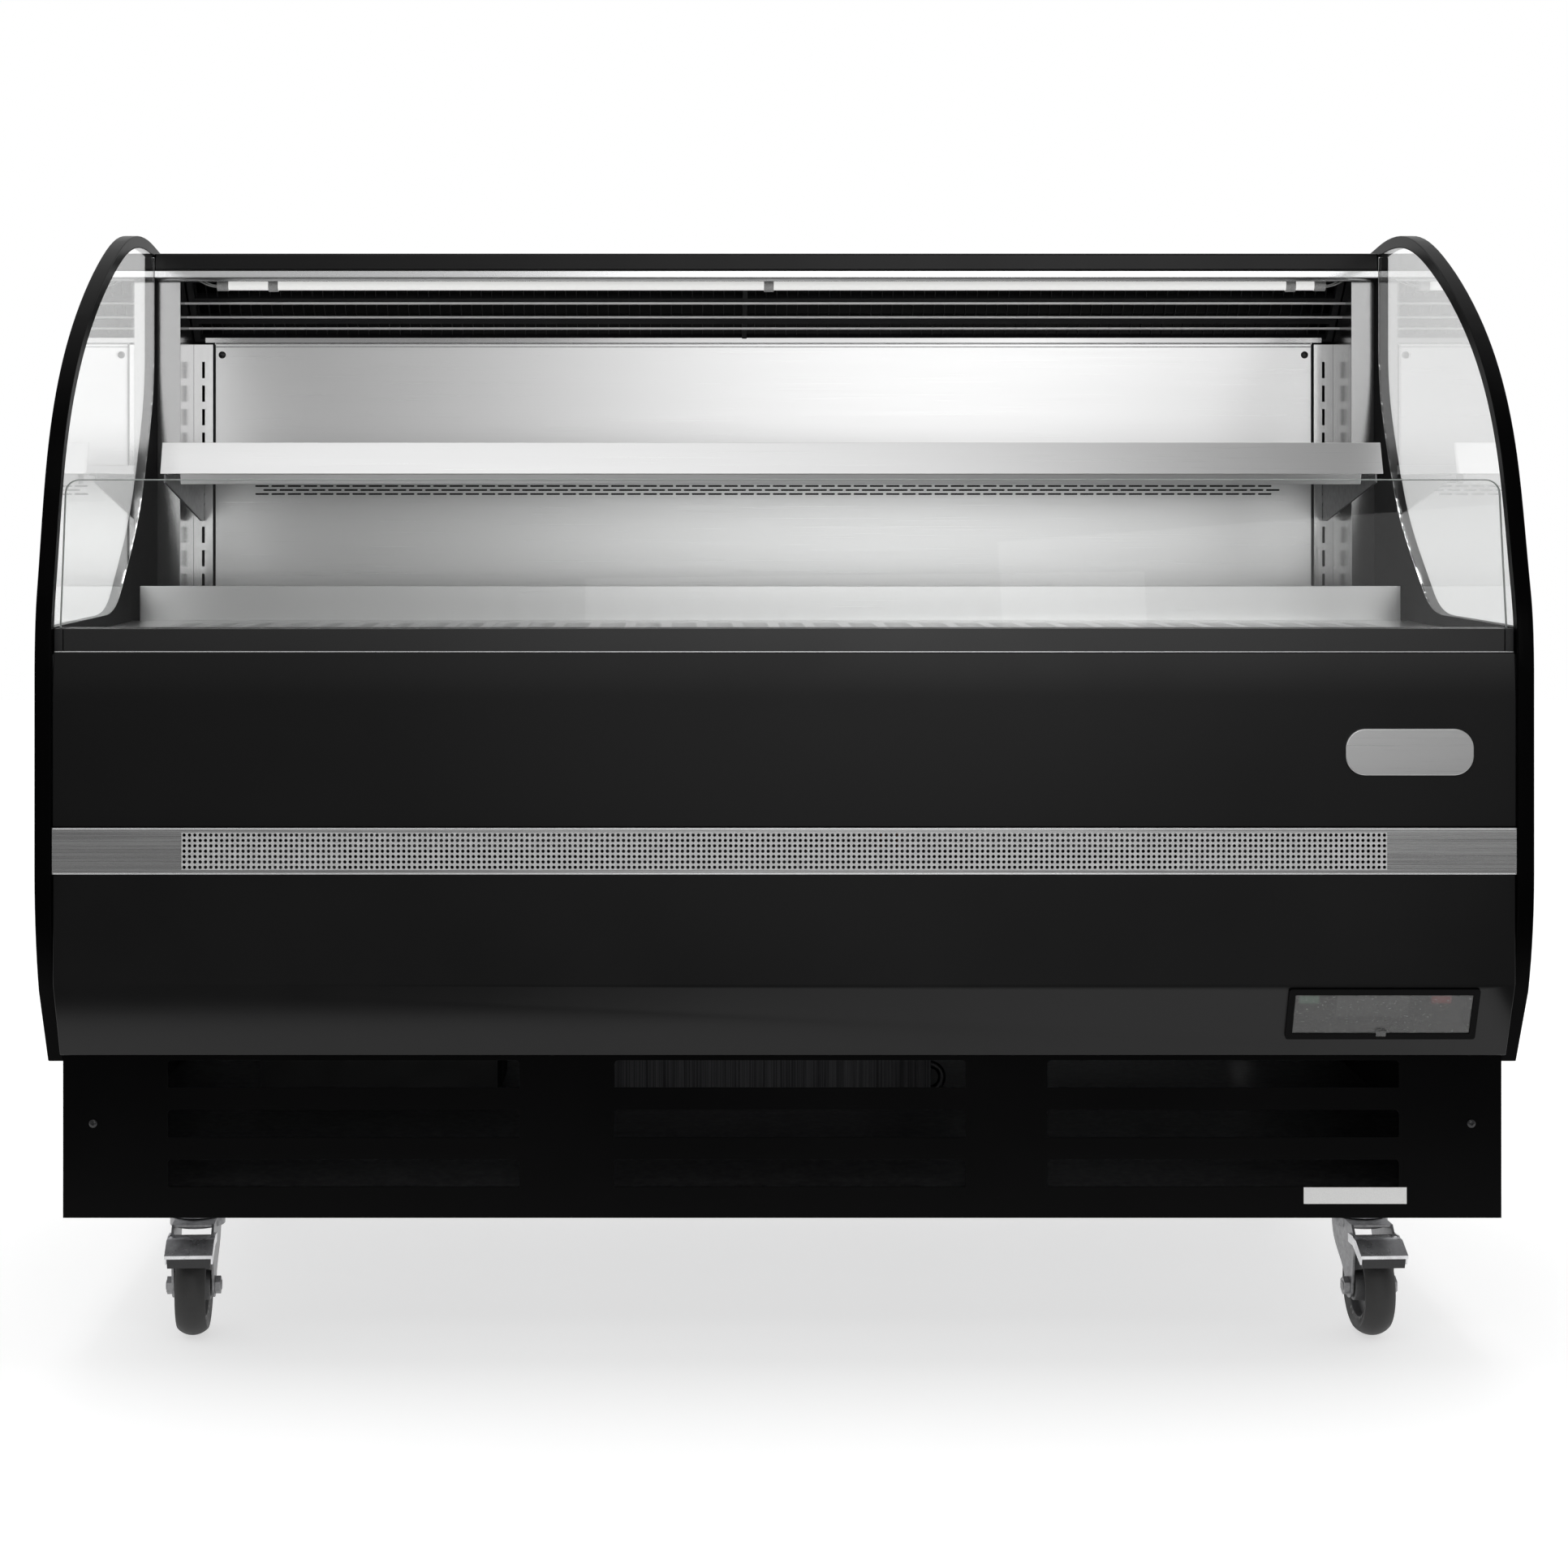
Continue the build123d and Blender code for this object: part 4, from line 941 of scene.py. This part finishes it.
def rear_vent_blades():
    """Slanting blades in the vents of the rear sheet, which also close the view through the base."""
    low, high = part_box("base_rear_grille")
    bm = bmesh.new()
    front = low.y - 5 * MM
    for x in VENT_SIDES:
        for z in VENT_HEIGHTS:
            for step in range(BLADES):
                foot = z - 17 * MM + step * BLADE_PITCH
                section = ((front, foot + 9 * MM), (front, foot + 9.8 * MM),
                           (high.y, foot - 0.8 * MM), (high.y, foot))
                add_prism(bm, [(end, y, height) for end in (x - VENT_HALF, x + VENT_HALF)
                               for y, height in section])
    add_piece("rear_vent_blades", mesh_from("vent_blade_shape", bm), PAINT)


# ---------------------------------------------------------------- build
PLAIN_NODES = (
    "left_end_glass", "right_end_glass", "evaporator_coil", "condenser_coil", "insulated_tub",
    "refrigerant_pipes", "evaporator_fan_plate", "condenser_fan_shroud", "led_tube", "air_guard_rods",
    "front_glass",
    "evaporator_fan_left", "evaporator_fan_right", "condenser_fan", "compressor", "condensate_pan",
)
SOFT_NODES = {
    "left_edge_profile": 1.2, "right_edge_profile": 1.2, "left_end_wall": 0.8, "right_end_wall": 0.8,
    "base_frame": 1.5, "base_front_grille": 0.5, "base_side_panels": 0.5, "base_rear_grille": 0.5,
    "cord_gland": 0.5, "rear_wall": 2.0, "canopy": 2.5, "light_rail": 0.6, "led_holders": 0.6,
    "air_outlet_duct": 0.5, "corner_posts": 0.4, "pilasters": 0.4, "shelf": 0.5, "shelf_brackets": 0.5,
    "deck_pan": 0.5, "front_rail": 1.2, "rail_end_caps": 1.0,
    "upper_front_panel": 0.7, "lower_front_panel": 0.7, "badge_plate": 1.0, "control_bezel": 0.6,
    "control_cover": 0.35, "light_switch": 0.5, "power_switch": 0.5, "thermostat": 0.8,
}


def dress_model():
    for node in PLAIN_NODES:
        slots = frame["nodes"][node].material_slots
        for place in slots:
            place.material = look_of(node)
    for node, width in SOFT_NODES.items():
        soften(node, width)
    soften_islands("caster_plates", [("plates", ZINC)], 0.6)
    for end in ("front", "rear"):
        for side in ("left", "right"):
            tag = f"{end}_{side}"
            soften(f"caster_fork_{tag}", 0.7, DARK_ZINC_AND_SHADE)
            finish_wheel(f"caster_wheel_{tag}")
    for side in ("left", "right"):
        soften_islands(f"brake_pedal_{side}", [("plate", ZINC), ("tread", BLACK_PLASTIC)], 0.6)


add_studio()
dress_model()
perforated_band()
back_panel()
return_grille()
front_details()
dome_screws()
led_wires()
outlet_vanes()
rear_vent_blades()
front_glass_edges()
outlet_lip()
painted_shadow_gaps()
